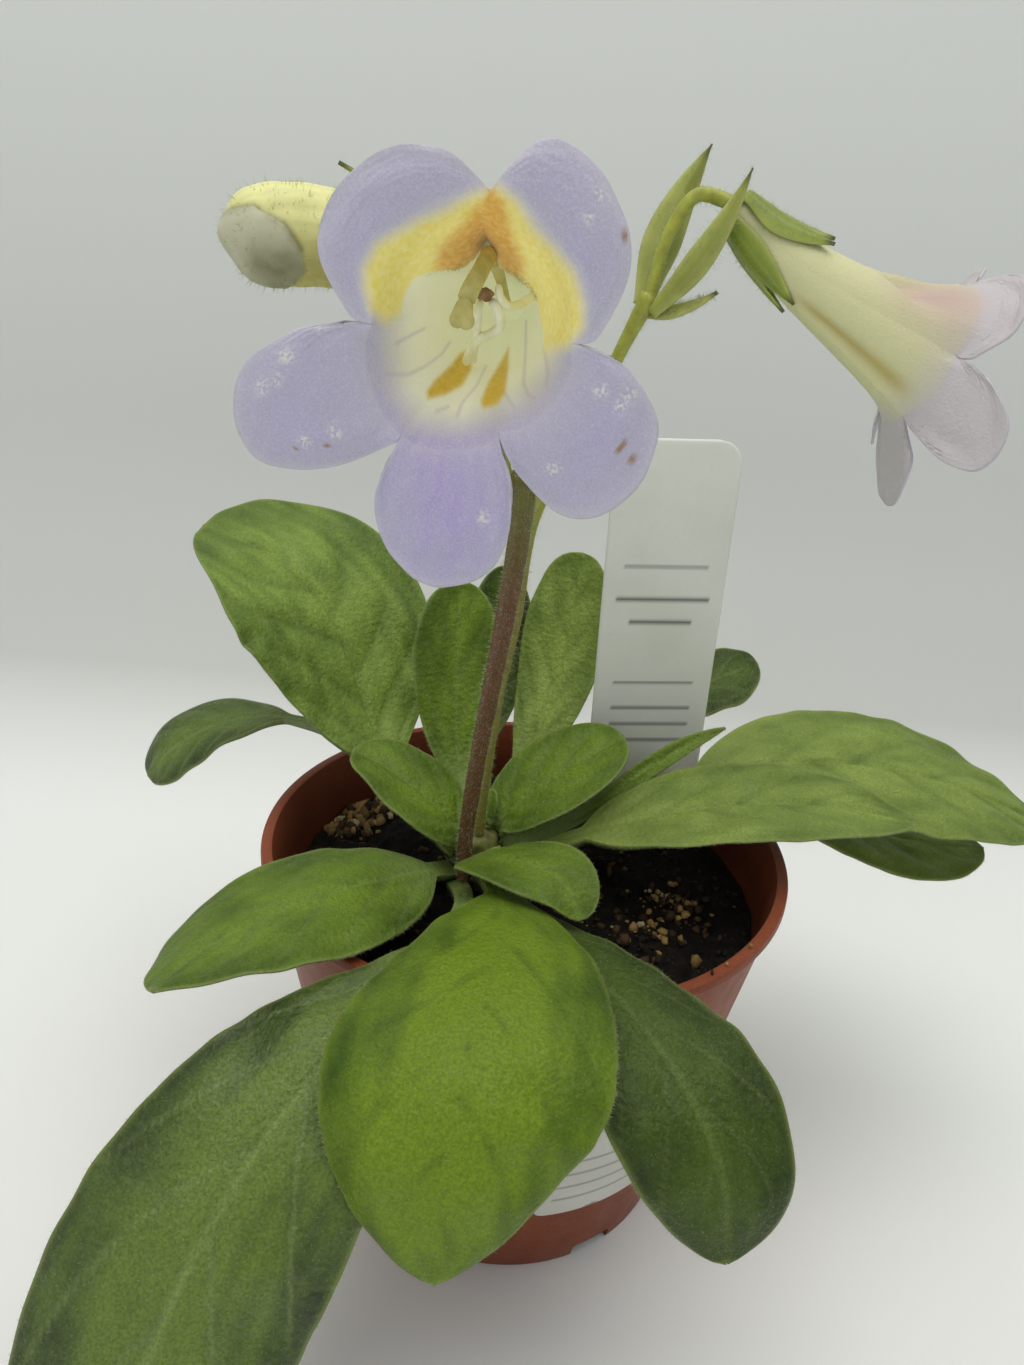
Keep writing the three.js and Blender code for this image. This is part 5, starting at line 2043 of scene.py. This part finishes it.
@dataclass(frozen=True)
class Pot:
    """The nursery pot: a thin tapering wall with a narrow lip, a flat floor and notches at its foot."""

    floor: float = 1.6
    lip_height: float = 2.4
    notches: int = 6
    notch_size: Triple = (9.0, 7.0, 4.5)
    first_notch: float = -58.0

    def profile(self) -> list[Pair]:
        """The wall's outline, from the underside's middle, over the lip, to the floor's middle.

        Returns:
            Radius and height of each point.
        """
        under_lip = POT_HEIGHT - self.lip_height
        wall = float(pot_radius(under_lip))
        inner = float(pot_radius(self.floor)) - POT_WALL
        return [
            (0, 0), (12, 0), (24, 0), (35.9, 0), (36.35, 0.15), (float(pot_radius(0.6)), 0.6),
            *[(float(pot_radius(h)), h) for h in (6, 16, 30, 44, 58, 70)],
            (wall, under_lip), (52.3, 77.45), (52.5, 77.75), (52.5, 79.0), (52.35, 79.35), (52, 79.5),
            (50.7, 79.5), (50.4, 79.35), (50.25, 79.0),
            *[(float(pot_radius(h)) - POT_WALL, h) for h in (70, 58, 44, 30, 16, 6)],
            (inner, self.floor), (24, self.floor), (12, self.floor), (0, self.floor),
        ]

    def build(self) -> Object:
        """The pot, spun from its profile, with the notches cut.

        Returns:
            The piece's object.
        """
        bm = bmesh.new()
        line = [bm.verts.new((r, 0, z)) for r, z in self.profile()]
        edges = [bm.edges.new(pair) for pair in zip(line, line[1:])]
        bmesh.ops.spin(bm, geom=line + edges, cent=(0, 0, 0), axis=(0, 0, 1), angle=TAU, steps=144,
                       use_merge=True)
        bmesh.ops.remove_doubles(bm, verts=bm.verts[:], dist=0.001)
        bmesh.ops.recalc_face_normals(bm, faces=bm.faces[:])
        bmesh.ops.scale(bm, vec=(MM, MM, MM), verts=bm.verts[:])
        body = in_scene("pot_body", to_mesh(bm, "pot_body"))
        bm = bmesh.new()
        wide, deep, high = self.notch_size
        for i in range(self.notches):
            cut = bmesh.ops.create_cube(bm, size=1)["verts"]
            turn = math.radians(self.first_notch + 360 / self.notches * i)
            where = Matrix.Rotation(turn, 4, "Z") @ Matrix.Translation((POT_BASE_RADIUS, 0, high / 2 - 1))
            bmesh.ops.transform(bm, matrix=where @ Matrix.Diagonal((deep, wide, high, 1)), verts=cut)
        uprights = [e for e in bm.edges if min(v.co.z for v in e.verts) > 2]
        bmesh.ops.bevel(bm, geom=uprights, offset=0.8, offset_type="OFFSET", affect="EDGES", segments=3,
                        profile=0.5, material=-1)
        bmesh.ops.scale(bm, vec=(MM, MM, MM), verts=bm.verts[:])
        cutter = in_scene("notch_cutter", to_mesh(bm, "notch_cutter"))
        cut = body.modifiers.new("notches", "BOOLEAN")
        cut.operation, cut.solver, cut.object = "DIFFERENCE", "EXACT", cutter
        bpy.context.view_layer.update()
        done = bpy.data.meshes.new_from_object(body.evaluated_get(bpy.context.evaluated_depsgraph_get()))
        bpy.data.objects.remove(body)
        bpy.data.objects.remove(cutter)
        done.name = "pot_wall"
        sharpen(done, 32)
        spots = coordinates(done) / MM
        depth = pot_radius(spots[:, 2]) - norms(spots[:, :2])
        high = spots[:, 2]
        below_lip = smoothstep(80, 76, high)
        # inside: where the inner wall takes its painted shade
        paint(done, inside=smoothstep(0.4, 1.0, depth) * smoothstep(1.0, 1.5, high) * below_lip)
        return piece(done, FINISHES["pot"], "terracotta_plastic", "pot")


def sharpen(mesh: Mesh, degrees: float) -> None:
    """Shades a mesh smooth except over its sharp edges.

    Args:
        mesh: the mesh.
        degrees: how far an edge turns before it is sharp.
    """
    with opened(mesh) as bm:
        for face in bm.faces:
            face.smooth = True
        for edge in bm.edges:
            edge.smooth = edge.calc_face_angle(0) < math.radians(degrees)


@dataclass(frozen=True)
class SoilFinish(Finish):
    """Moist dark potting mix with brown fibres, darkened further with painted shade."""

    # near black: the mix's own dark colour, darkened further as painted shade from the leaves above
    wet: RGB = (6, 5, 3)
    dry: RGB = (30, 23, 13)
    bits: RGB = (120, 98, 62)

    def base(self, g: Graph) -> NodeSocket:
        """Near black with brown lumps and small light bits; the near black is partly painted shade.

        Args:
            g: the material's graph.

        Returns:
            The colour's socket.
        """
        lumps = g.mottle(330, 0.42, 0.68, 5.0)
        # the near-black colour is partly painted shade
        skin = g.blend(lumps, self.wet, self.dry)
        bits = g.flecks(520, 0.22)
        thin = g.mottle(150, 0.5, 0.62, 2.0)
        return g.blend(g.times(bits, thin), skin, self.bits, 0.6)


@dataclass(frozen=True)
class CrumbFinish(Finish):
    """Loose crumbs of bark, sand and pumice, each its own colour."""

    bark: RGB = (22, 16, 9)
    light_bark: RGB = (74, 56, 32)
    sand: RGB = (176, 144, 86)
    pumice: RGB = (210, 196, 156)
    # a fine darker mottle over the crumbs
    stain: RGB = (60, 46, 28)

    def base(self, g: Graph) -> NodeSocket:
        """Dark bark, tan sand or pale pumice by the crumb's own number.

        Args:
            g: the material's graph.

        Returns:
            The colour's socket.
        """
        tone = g.mask("tone")
        skin = g.blend(g.between(tone, 0.35, 0.65), self.bark, self.light_bark)
        skin = g.blend(g.between(tone, 0.66, 0.85), skin, self.sand)
        skin = g.blend(g.between(tone, 0.93, 0.98), skin, self.pumice)
        return g.blend(g.mottle(2600, 0.35, 0.7), skin, self.stain, 0.4)


@dataclass(frozen=True)
class Soil:
    """The potting mix: a lumpy low mound, with loose crumbs lying on it."""

    bottom: float = 4.5
    mound: float = 2.0
    clearance: float = 0.3
    crumbs: int = 1300
    heap_at: Pair = (-22, 24)
    heap_height: float = 2.6
    heap_reach: float = 15.0
    light_spots: tuple[Triple, ...] = (
        (-38, 19, 9), (-36, 22, 8), (-29, 26, 8), (24, -14, 12), (31, -4, 8),
    )
    lip_crumbs: tuple[Triple, ...] = ((31.5, -40.4, 79.8), (34.5, -37.9, 79.7), (39.6, -32.5, 79.7))
    pumice_at: Pair = (3.6, 4.5)

    def wall(self, height: Any) -> Any:
        """Inner radius that the mix fills at a height."""
        return pot_radius(height) - POT_WALL - self.clearance

    def height(self, flat: Array) -> Array:
        """Height of the mix's top.

        Args:
            flat: rows of x and y, in millimetres.

        Returns:
            Millimetres for each row.
        """
        share = norms(flat) / self.wall(SOIL_LEVEL)
        lumps = 0.75 * ripples("soil", flat, 9.0) + 0.4 * ripples("soil_fine", flat, 3.2)
        lumps = lumps + 0.22 * ripples("soil_grit", flat, 1.3)
        lumps = lumps + self.heap_height * bump(norms(flat - np.array(self.heap_at)), self.heap_reach)
        return SOIL_LEVEL + self.mound * (1 - share**2) + lumps * (1 - 0.6 * share**8) - 0.5

    def build(self) -> None:
        """The mix and its crumbs."""
        mesh, along, turn = tube("soil_body", 110, 160)
        top = float(self.wall(SOIL_LEVEL))
        face, side = 0.8, 0.9  # how far along the mix's face and then its side reach
        radius = np.interp(along, [0, face, side, 1], [0, top, self.wall(self.bottom), 0])
        flat = polar(radius, turn)
        high = self.height(flat)
        low = np.interp(along, [face, side, 1], [SOIL_LEVEL, self.bottom, self.bottom])
        z = np.where(along <= face, high, low)
        radius = np.where(along <= face, radius, np.minimum(radius, self.wall(z)))
        place(mesh, polar(radius, turn, z))
        tidy(mesh, weld=True)
        piece(mesh, FINISHES["soil"], "potting_mix", "soil")
        self.scatter_crumbs()

    def scatter_crumbs(self) -> None:
        """Crumbs all over the mix, with more light ones in a few places, and three on the lip."""
        bm = bmesh.new()
        bmesh.ops.create_icosphere(bm, subdivisions=1, radius=1)
        corners = np.array([vertex.co[:] for vertex in bm.verts])
        mesh = flock(bm, "soil_crumbs", self.crumbs)
        corner, copy = channel(mesh, "corner", np.int32), channel(mesh, "copy", np.int32)
        source = dice("crumbs")
        turn = source.uniform(0, TAU, self.crumbs)
        radius = np.sqrt(source.uniform(0, 1, self.crumbs)) * (self.wall(SOIL_LEVEL) - 1.2)
        flat = polar(radius, turn)
        tone = source.uniform(0, 0.75, self.crumbs)
        size = 0.25 + 0.95 * source.uniform(0, 1, self.crumbs) ** 2.5
        third = self.crumbs // 3
        pick = source.randint(0, len(self.light_spots), third)
        spots = np.array(self.light_spots)[pick]
        flat[:third] = spots[:, :2] + source.normal(size=(third, 2)) * spots[:, 2:] * 0.4
        tone[:third] = source.uniform(0.45, 0.99, third)
        size[:third] *= np.where(pick < 3, 1.5, 1.0)
        keep = self.wall(SOIL_LEVEL) - 1.0
        far = norms(flat)
        flat = flat * np.minimum(1, keep / np.maximum(far, 1e-6))[:, None]
        z = self.height(flat) + size * 0.3
        spot = np.column_stack([flat, z])
        spot[:3] = self.lip_crumbs
        size[:3] = (0.5, 0.35, 0.4)
        spot[3, :2], size[3], tone[3] = self.pumice_at, 1.25, 0.97
        spot[3, 2] = float(self.height(spot[3:4, :2])[0]) + 0.9
        stretch = source.uniform(0.6, 1.3, (self.crumbs, 3)) * size[:, None]
        jitter = 1 + 0.22 * source.normal(size=(self.crumbs, len(corners)))
        local = corners[corner] * stretch[copy] * np.clip(jitter[copy, corner], 0.6, 1.4)[:, None]
        spin = source.uniform(0, TAU, self.crumbs)[copy]
        x = local[:, 0] * np.cos(spin) - local[:, 1] * np.sin(spin)
        y = local[:, 0] * np.sin(spin) + local[:, 1] * np.cos(spin)
        place(mesh, spot[copy] + np.column_stack([x, y, local[:, 2]]))
        paint(mesh, tone=tone[copy])
        tidy(mesh)
        piece(mesh, FINISHES["crumb"], "potting_mix")


@dataclass(frozen=True)
class SheetFinish(Finish):
    """Thin sheet with printed rules: plastic for the tag, paper for the label."""

    sheet: RGB = (240, 242, 234)
    worn: RGB = (222, 224, 212)
    ink: RGB = (60, 62, 58)
    fibre: float = 0.2
    dirt: RGB = (116, 100, 74)

    def base(self, g: Graph) -> NodeSocket:
        """The sheet's colour, faint stains, and the rules.

        Args:
            g: the material's graph.

        Returns:
            The colour's socket.
        """
        stains = g.mottle(60, 0.42, 0.72, 4.0)
        skin = g.blend(stains, self.sheet, self.worn, 0.5)
        skin = g.blend(g.mottle(1800, 0.35, 0.7), skin, self.worn, self.fibre)
        skin = g.blend(g.mask("soiled"), skin, self.dirt, 0.7)
        return g.blend(g.mask("ink"), skin, self.ink, 0.85)


@dataclass(frozen=True)
class Tag:
    """The plant tag: a thin plastic stake with rounded shoulders, a pointed foot and plain ruled lines."""

    top: Triple = (23.5, 16, 157.5)
    foot: Triple = (26.5, 25, 41)
    width: float = 25.0
    thickness: float = 0.6
    corner: float = 5.0
    point: float = 18.0
    bow: float = 0.6
    soiled: Pair = (24, 34)
    rules: tuple[Triple, ...] = (
        (91.5, 8.4, 0.12), (65.5, 8.4, 0.12), (84.5, 9.5, 0.22), (79.5, 6.5, 0.22), (59.5, 8.8, 0.16),
        (55.5, 8.8, 0.16), (51.5, 8.8, 0.16),
    )

    def build(self) -> Object:
        """The stake, bent hardly at all, with its rules as a mask.

        Returns:
            The piece's object.
        """
        top, foot = np.array(self.top, float), np.array(self.foot, float)
        length = float(np.linalg.norm(top - foot))
        up = unit((top - foot)[None])[0]
        right = np.array((1, 0.1, 0.0))
        right = unit((right - (right @ up) * up)[None])[0]
        facing = np.cross(right, up)
        mesh, along, across, through = slab("tag_stake", 260, 48)
        y = along * length
        half = np.full(len(y), self.width / 2)
        half = np.where(y < self.point, self.width / 2 * y / self.point, half)
        near_top = np.maximum(y - (length - self.corner), 0)
        half = half - (self.corner - np.sqrt(np.maximum(self.corner**2 - near_top**2, 0)))
        x = across * np.maximum(half, 0.15)
        edge = np.minimum(np.maximum(half, 0.15) - np.abs(x), length - y)
        thick = self.thickness * (1 - 0.55 * bump(edge, 0.35))
        bow = self.bow * (np.sin(math.pi * along) - 0.5)
        spot = foot + up * y[:, None] + right * x[:, None] + facing * (through * thick + bow)[:, None]
        ink = np.zeros(len(y))
        for height, reach, thin in self.rules:
            ink = np.maximum(ink, bump(y - height, thin * 2.2) * (np.abs(x) < reach))
        place(mesh, spot)
        paint(mesh, ink=ink * (through > 0), soiled=1 - smoothstep(*self.soiled, y))
        tidy(mesh)
        return piece(mesh, FINISHES["tag"], "tag_plastic", "plant_tag")


@dataclass(frozen=True)
class PotLabel:
    """The paper label on the pot's wall, with plain ruled lines where such a label is filled in."""

    start: float = -81.0
    end: float = -46.0
    bottom: float = 19.0
    top: float = 54.0
    thickness: float = 0.25
    corner: float = 2.0
    gap: float = 0.05
    rules: tuple[float, ...] = (-12.5, -8.5, -4.5, -0.5)
    head_rule: float = 10.5

    def build(self) -> Object:
        """The label, bent round the wall.

        Returns:
            The piece's object.
        """
        mesh, along, across, through = slab("pot_label_sheet", 60, 110)
        share = (across + 1) / 2
        height = lerp(self.bottom, self.top, share)
        wide = math.radians(self.end - self.start) * float(pot_radius((self.bottom + self.top) / 2))
        tall = self.top - self.bottom
        u, v = (along - 0.5) * wide, (share - 0.5) * tall
        over = np.maximum(np.abs(v) - (tall / 2 - self.corner), 0)
        pull = self.corner - np.sqrt(np.maximum(self.corner**2 - over**2, 0))
        u = u * (1 - pull / (wide / 2))
        turn = np.radians((self.start + self.end) / 2) + u / wide * math.radians(self.end - self.start)
        radius = pot_radius(height) + self.gap + self.thickness / 2 + through * self.thickness
        ink = np.zeros(len(u))
        for line in self.rules:
            ink = np.maximum(ink, bump(v - line, 0.3) * (np.abs(u) < wide / 2 - 3.2))
        ink = np.maximum(ink, bump(v - self.head_rule, 0.5) * (np.abs(u) < wide / 2 - 7))
        place(mesh, polar(radius, turn, height))
        paint(mesh, ink=ink * (through > 0), soiled=ripples("label", np.column_stack([u, v]), 9) > 1.7)
        tidy(mesh)
        return piece(mesh, FINISHES["label"], "label_paper", "pot_label")


@dataclass(frozen=True)
class Crown:
    """The short thick stem that all leaves grow from."""

    x: float = -9.0
    y: float = -3.0
    radius: float = 4.6
    bottom: float = 58.0
    top: float = 80.8

    def build(self) -> Object:
        """The stem with rings of old leaf scars.

        Returns:
            The piece's object.
        """
        mesh, along, turn = tube("crown_stem", 60, 48)
        dome = np.sqrt(np.clip(1 - np.clip((along - 0.88) / 0.12, 0, 1) ** 2, 0, 1))
        dome = dome * np.clip(along / 0.03, 0, 1) ** 0.5
        radius = self.radius * lerp(1, 0.8, along) * dome
        rings = 0.3 * np.sin(along * 34 + 1.5 * np.sin(turn * 2)) * dome
        radius = np.maximum(radius + rings, 0)
        z = lerp(self.bottom, self.top, along)
        place(mesh, polar(radius, turn, z) + (self.x, self.y, 0))
        tidy(mesh, weld=True)
        return piece(mesh, FINISHES["crown"], "crown_green", "crown")


# ---------- hair on the pieces ----------


def scatter(mesh: Mesh, name: str, count: int, weight: Array | None = None) -> tuple[Array, Array]:
    """Random points on a mesh, in millimetres, with the way that the skin looks there.

    Args:
        mesh: the mesh that they lie on.
        name: what the draw is seeded by.
        count: how many.
        weight: per vertex, how dense they lie.

    Returns:
        The points, and a unit vector for each.
    """
    mesh.calc_loop_triangles()
    corners = np.empty(len(mesh.loop_triangles) * 3, np.int32)
    mesh.loop_triangles.foreach_get("vertices", corners)
    corners = corners.reshape(-1, 3)
    points = coordinates(mesh) / MM
    # Sorted by place, since the order that a mesh is built in can differ from run to run.
    corners = corners[np.lexsort(points[corners].mean(axis=1).round(3).T)]
    a, b, c = (points[corners[:, i]] for i in range(3))
    normal = np.cross(b - a, c - a)
    area = norms(normal)
    if weight is not None:
        area = area * weight[corners].mean(axis=1)
    source = dice(name)
    pick = np.searchsorted(np.cumsum(area) / area.sum(), source.uniform(0, 1, count)).clip(0, len(area) - 1)
    s, t = source.uniform(0, 1, (2, count))
    over = s + t > 1
    s, t = np.where(over, 1 - s, s)[:, None], np.where(over, 1 - t, t)[:, None]
    return a[pick] + s * (b - a)[pick] + t * (c - a)[pick], unit(normal[pick])


RIM_HAIRS = 4.5  # hairs to a millimetre of a leaf's edge
SEPAL_HAIRS = 420
FRINGE_HAIRS = 520  # under the roof of a throat


def grow_leaf_hair(hairs: Hairs, leaf: Leaf, made: Object) -> None:
    """Hair along a leaf's two edges and finer hair all over both of its faces.

    Args:
        hairs: what the hair is added to.
        leaf: the leaf.
        made: its object.
    """
    source = dice(leaf.name + "_hair")
    for side in (-1, 1):
        count = int(leaf.length() * RIM_HAIRS)
        share = source.uniform(leaf.petiole * 0.5, 1.0, count)
        rim = leaf.surface(share, np.full(count, side, float), np.zeros(count))
        inner = leaf.surface(share, np.full(count, side * 0.93), np.zeros(count))
        hairs.grow(rim, rim - inner, 0.6, 0.024, 0.4)
    size = leaf.length() * leaf.width
    thick = 1.0 if leaf.tone in (LeafTone.DARK, LeafTone.DEEP) else 0.6
    points, ways = scatter(made.data, leaf.name + "_down", int(size * thick))
    hairs.grow(points, ways, 0.5, 0.02, 0.35)


@dataclass(frozen=True)
class DownPatch:
    """Hair on one piece: how many, how long and how thick, and where, by a mask of its mesh."""

    piece: str
    count: int
    length: float
    radius: float = 0.022
    mask: str = ""
    stray: float = 0.35


FLOWER_DOWN = (
    DownPatch("main_peduncle_stem", 3200, 0.95, 0.028),
    DownPatch("second_peduncle_stem", 1800, 0.9, 0.028),
    DownPatch("front_pedicel_stem", 500, 0.8, 0.028),
    DownPatch("bud_pedicel_stem", 500, 0.8, 0.028),
    DownPatch("right_pedicel_stem", 500, 0.8, 0.028),
    DownPatch("bud_petals", 900, 1.0, 0.036),
    DownPatch("front_petals", 5200, 0.4, 0.016, "outside"),
    DownPatch("right_petals", 3200, 0.35, 0.016, "outside"),
)


def grow_all_hair(leaves: list[tuple[Leaf, Object]]) -> None:
    """Hair on leaves, stalks, calyces, bud and the outside of the petals.

    Args:
        leaves: each leaf with its object.
    """
    leaf_hairs = Hairs("leaf_hair", FINISHES["hair"], "leaf_green")
    for leaf, made in leaves:
        grow_leaf_hair(leaf_hairs, leaf, made)
    leaf_hairs.build()
    down = Hairs("flower_hair", FINISHES["flower_hair"], "bract_green")
    for patch in FLOWER_DOWN:
        mesh = bpy.data.objects[patch.piece].data
        weight = channel(mesh, patch.mask) if patch.mask else None
        points, ways = scatter(mesh, patch.piece, patch.count, weight)
        down.grow(points, ways, patch.length, patch.radius, patch.stray)
    for made in bpy.data.objects:
        if "_sepal_" in made.name or "bract" in made.name:
            points, ways = scatter(made.data, made.name, SEPAL_HAIRS)
            down.grow(points, ways, 0.7, 0.026, 0.35)
    for flower in (FRONT_FLOWER, RIGHT_FLOWER):
        corolla = Corolla(flower)
        source = dice(flower.name + "_fringe")
        turn = np.radians(87 + source.uniform(-62, 62, FRINGE_HAIRS))
        share = 1 - source.uniform(8.0, 9.6, FRINGE_HAIRS) / flower.path().length
        roots = corolla.wall(turn, share)
        inward = np.column_stack([-np.cos(turn), -np.sin(turn), np.full(len(turn), 0.9)])
        foot = flower.put(roots)
        down.grow(foot, flower.put(roots + inward * 0.2) - foot, 0.5, 0.02, 0.5)
    down.build()


# ---------- stage ----------


@dataclass(frozen=True)
class StageFinish(Finish):
    """Plain matt paper, with painted shade that darkens it a little up the wall."""

    floor: RGB = (250, 252, 250)
    # wall and upper_wall: painted shade, darker than the paper's own floor colour
    wall: RGB = (210, 213, 209)
    upper_wall: RGB = (226, 230, 226)

    def base(self, g: Graph) -> NodeSocket:
        """Floor colour that turns to the wall colour with height, as painted shade.

        Args:
            g: the material's graph.

        Returns:
            The colour's socket.
        """
        height = g.add("SeparateXYZ", {0: g.where()}).outputs[2]
        # painted shade: darker on the wall than on the floor, lighter again higher up
        low = g.blend(g.between(height, 0.0005, 0.03), self.floor, self.wall)
        return g.blend(g.between(height, 0.05, 0.26), low, self.upper_wall)


@dataclass(frozen=True)
class Stage:
    """The pale sweep that the pot stands on, soft light from above, and the camera."""

    wall_at: float = 0.11
    bend: float = 0.12
    half_width: float = 1.2
    front: float = -1.2
    wall_height: float = 1.2
    camera_at: Triple = (-5.0, -167.3, 182.0)
    camera_right: Triple = (0.99730168, 0.02831841, 0.06773055)
    camera_up: Triple = (-0.07341226, 0.38470416, 0.92011594)
    camera_ahead: Triple = (0.0, 0.92260543, -0.38574502)
    focal_pixels: float = 947.0
    frame_pixels: float = 1365.0
    sensor: float = 36.0
    clip: Pair = (0.01, 20.0)
    surroundings: float = 0.38

    def sweep(self) -> None:
        """Floor and wall as one bent sheet."""
        bm = bmesh.new()
        bmesh.ops.create_grid(bm, x_segments=8, y_segments=160, size=1)
        straight = self.wall_at - self.front
        arc = self.bend * math.pi / 2
        total = straight + arc + self.wall_height
        for vertex in bm.verts:
            run = (vertex.co.y + 1) / 2 * total
            turn = min(max(run - straight, 0) / self.bend, math.pi / 2)
            y = self.front + min(run, straight) + self.bend * math.sin(turn)
            z = self.bend * (1 - math.cos(turn)) + max(run - straight - arc, 0)
            vertex.co = (vertex.co.x * self.half_width, y, z)
        for face in bm.faces:
            face.smooth = True
        mesh = to_mesh(bm, "floor_sweep")
        mesh.materials.append(FINISHES["stage"])
        in_scene("floor_sweep", mesh)

    def lamp(self, name: str, spot: Triple, size: float, power: float, tint: RGB) -> None:
        """A square soft light that looks at the plant.

        Args:
            name: its name.
            spot: where it hangs, in metres.
            size: its side, in metres.
            power: its watts.
            tint: its screen colour.
        """
        data = bpy.data.lights.new(name, "AREA")
        data.shape, data.size, data.energy = "SQUARE", size, power
        data.color = colour(tint)[:3]
        lamp = in_scene(name, data)
        lamp.location = spot
        lamp.visible_camera = False
        lamp.rotation_euler = (Vector((0, 0, 0.1)) - Vector(spot)).to_track_quat("-Z", "Y").to_euler()

    def light(self) -> None:
        """Even pale surroundings, a broad light overhead and a faint one from the left front."""
        world = bpy.data.worlds.new("room")
        world.use_nodes = True
        back = world.node_tree.nodes["Background"]
        back.inputs["Color"].default_value = colour((250, 252, 255))
        back.inputs["Strength"].default_value = self.surroundings
        bpy.context.scene.world = world
        self.lamp("top_light", (0.0, -0.05, 0.95), 0.8, 5.1, (255, 252, 246))
        self.lamp("front_light", (-0.5, -0.75, 0.65), 0.5, 0.9, (255, 253, 250))

    def camera(self) -> None:
        """The camera, slightly above the flowers and looking down at the crown."""
        data = bpy.data.cameras.new("camera")
        data.sensor_fit, data.sensor_width = "AUTO", self.sensor
        data.lens = self.focal_pixels * self.sensor / self.frame_pixels
        data.clip_start, data.clip_end = self.clip
        made = in_scene("camera", data)
        turn = Matrix((self.camera_right, self.camera_up, [-a for a in self.camera_ahead])).transposed()
        made.matrix_world = Matrix.Translation(Vector(self.camera_at) * MM) @ turn.to_4x4()
        bpy.context.scene.camera = made

    def build(self) -> None:
        """All of it, with colours shown as they are."""
        self.camera()
        self.sweep()
        self.light()
        bpy.context.scene.view_settings.view_transform = "Standard"
        bpy.context.scene.view_settings.look = "None"


KINDS: dict[str, Finish] = {
    **{tone.value: finish for tone, finish in LEAF_FINISHES.items()},
    "stalk_brown": StalkFinish("stalk_brown"),
    "stalk_green": StalkFinish("stalk_green", foot=(150, 142, 66), head=(182, 188, 74)),
    "bract": BractFinish("bract_green"),
    "sepal": BractFinish("sepal_green", middle=(128, 150, 36), edge=(180, 194, 92)),
    "petal": PetalFinish("petal_velvet", roughness=0.62, sheen=0.25, grain_scale=3000, grain_strength=0.6,
                         grain_height=0.00018, specular=0.2),
    "stigma": FleshFinish("stigma_green", roughness=0.42, light=(204, 196, 122), deep=(176, 166, 88)),
    "filament": FleshFinish("filament_cream", roughness=0.4, light=(250, 250, 216), deep=(232, 232, 180)),
    "anther": FleshFinish("anther_brown", roughness=0.7, light=(168, 134, 92), deep=(112, 80, 48)),
    "bud": BudFinish("bud_cream", specular=0.3, subsurface=0.3, grain_strength=0.3),
    "pot": PotFinish("terracotta_plastic", roughness=0.45, specular=0.2, grain_scale=1500,
                     grain_strength=0.15),
    "soil": SoilFinish("potting_mix", roughness=0.9, grain_scale=900, grain_strength=0.8,
                       grain_height=0.0006, specular=0.25),
    "crumb": CrumbFinish("soil_crumbs", roughness=0.8, grain_scale=2200, grain_strength=0.6,
                         grain_height=0.0003, specular=0.3),
    "tag": SheetFinish("tag_plastic", roughness=0.42, fibre=0.15),
    "label": SheetFinish("label_paper", roughness=0.6, sheet=(216, 216, 208), worn=(198, 197, 186),
                         ink=(128, 128, 122), fibre=0.35),
    "crown": FleshFinish("crown_green", roughness=0.55, light=(124, 132, 62), deep=(92, 78, 44)),
    "hair": HairFinish("leaf_hair", roughness=0.4),
    "flower_hair": HairFinish("flower_hair", roughness=0.4),
    "stage": StageFinish("stage_paper", roughness=0.9, grain_strength=0.02, specular=0.1),
}
FINISHES = {key: kind.material() for key, kind in KINDS.items()}


def report(name: str, start: float) -> None:
    """Logs how long a part of the plant took."""
    LOG.info("%s done after %.1f s", name, time.perf_counter() - start)


def main() -> None:
    """Builds the potted plant piece by piece."""
    logging.basicConfig(level=logging.INFO, format="%(message)s")
    start = time.perf_counter()
    Stage().build()
    leaves = [(leaf, leaf.build()) for leaf in LEAVES]
    report("leaves", start)
    PEDUNCLE.build(FINISHES["stalk_brown"], "stalk_brown")
    SECOND_PEDUNCLE.build(FINISHES["stalk_green"], "stalk_green")
    for pedicel in PEDICELS:
        pedicel.build(FINISHES["stalk_green"], "stalk_green")
    for bract in BRACTS:
        bract.build(FINISHES["bract"])
    for flower in (FRONT_FLOWER, RIGHT_FLOWER):
        Corolla(flower).build()
        FlowerHeart(flower).build()
        Calyx(flower).build()
    Bud().build()
    Calyx(BUD, BUD_RADII).build()
    report("flowers", start)
    Pot().build()
    Soil().build()
    Tag().build()
    PotLabel().build()
    Crown().build()
    report("pot", start)
    grow_all_hair(leaves)
    report("hair", start)
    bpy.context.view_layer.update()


if __name__ == "__main__":
    main()
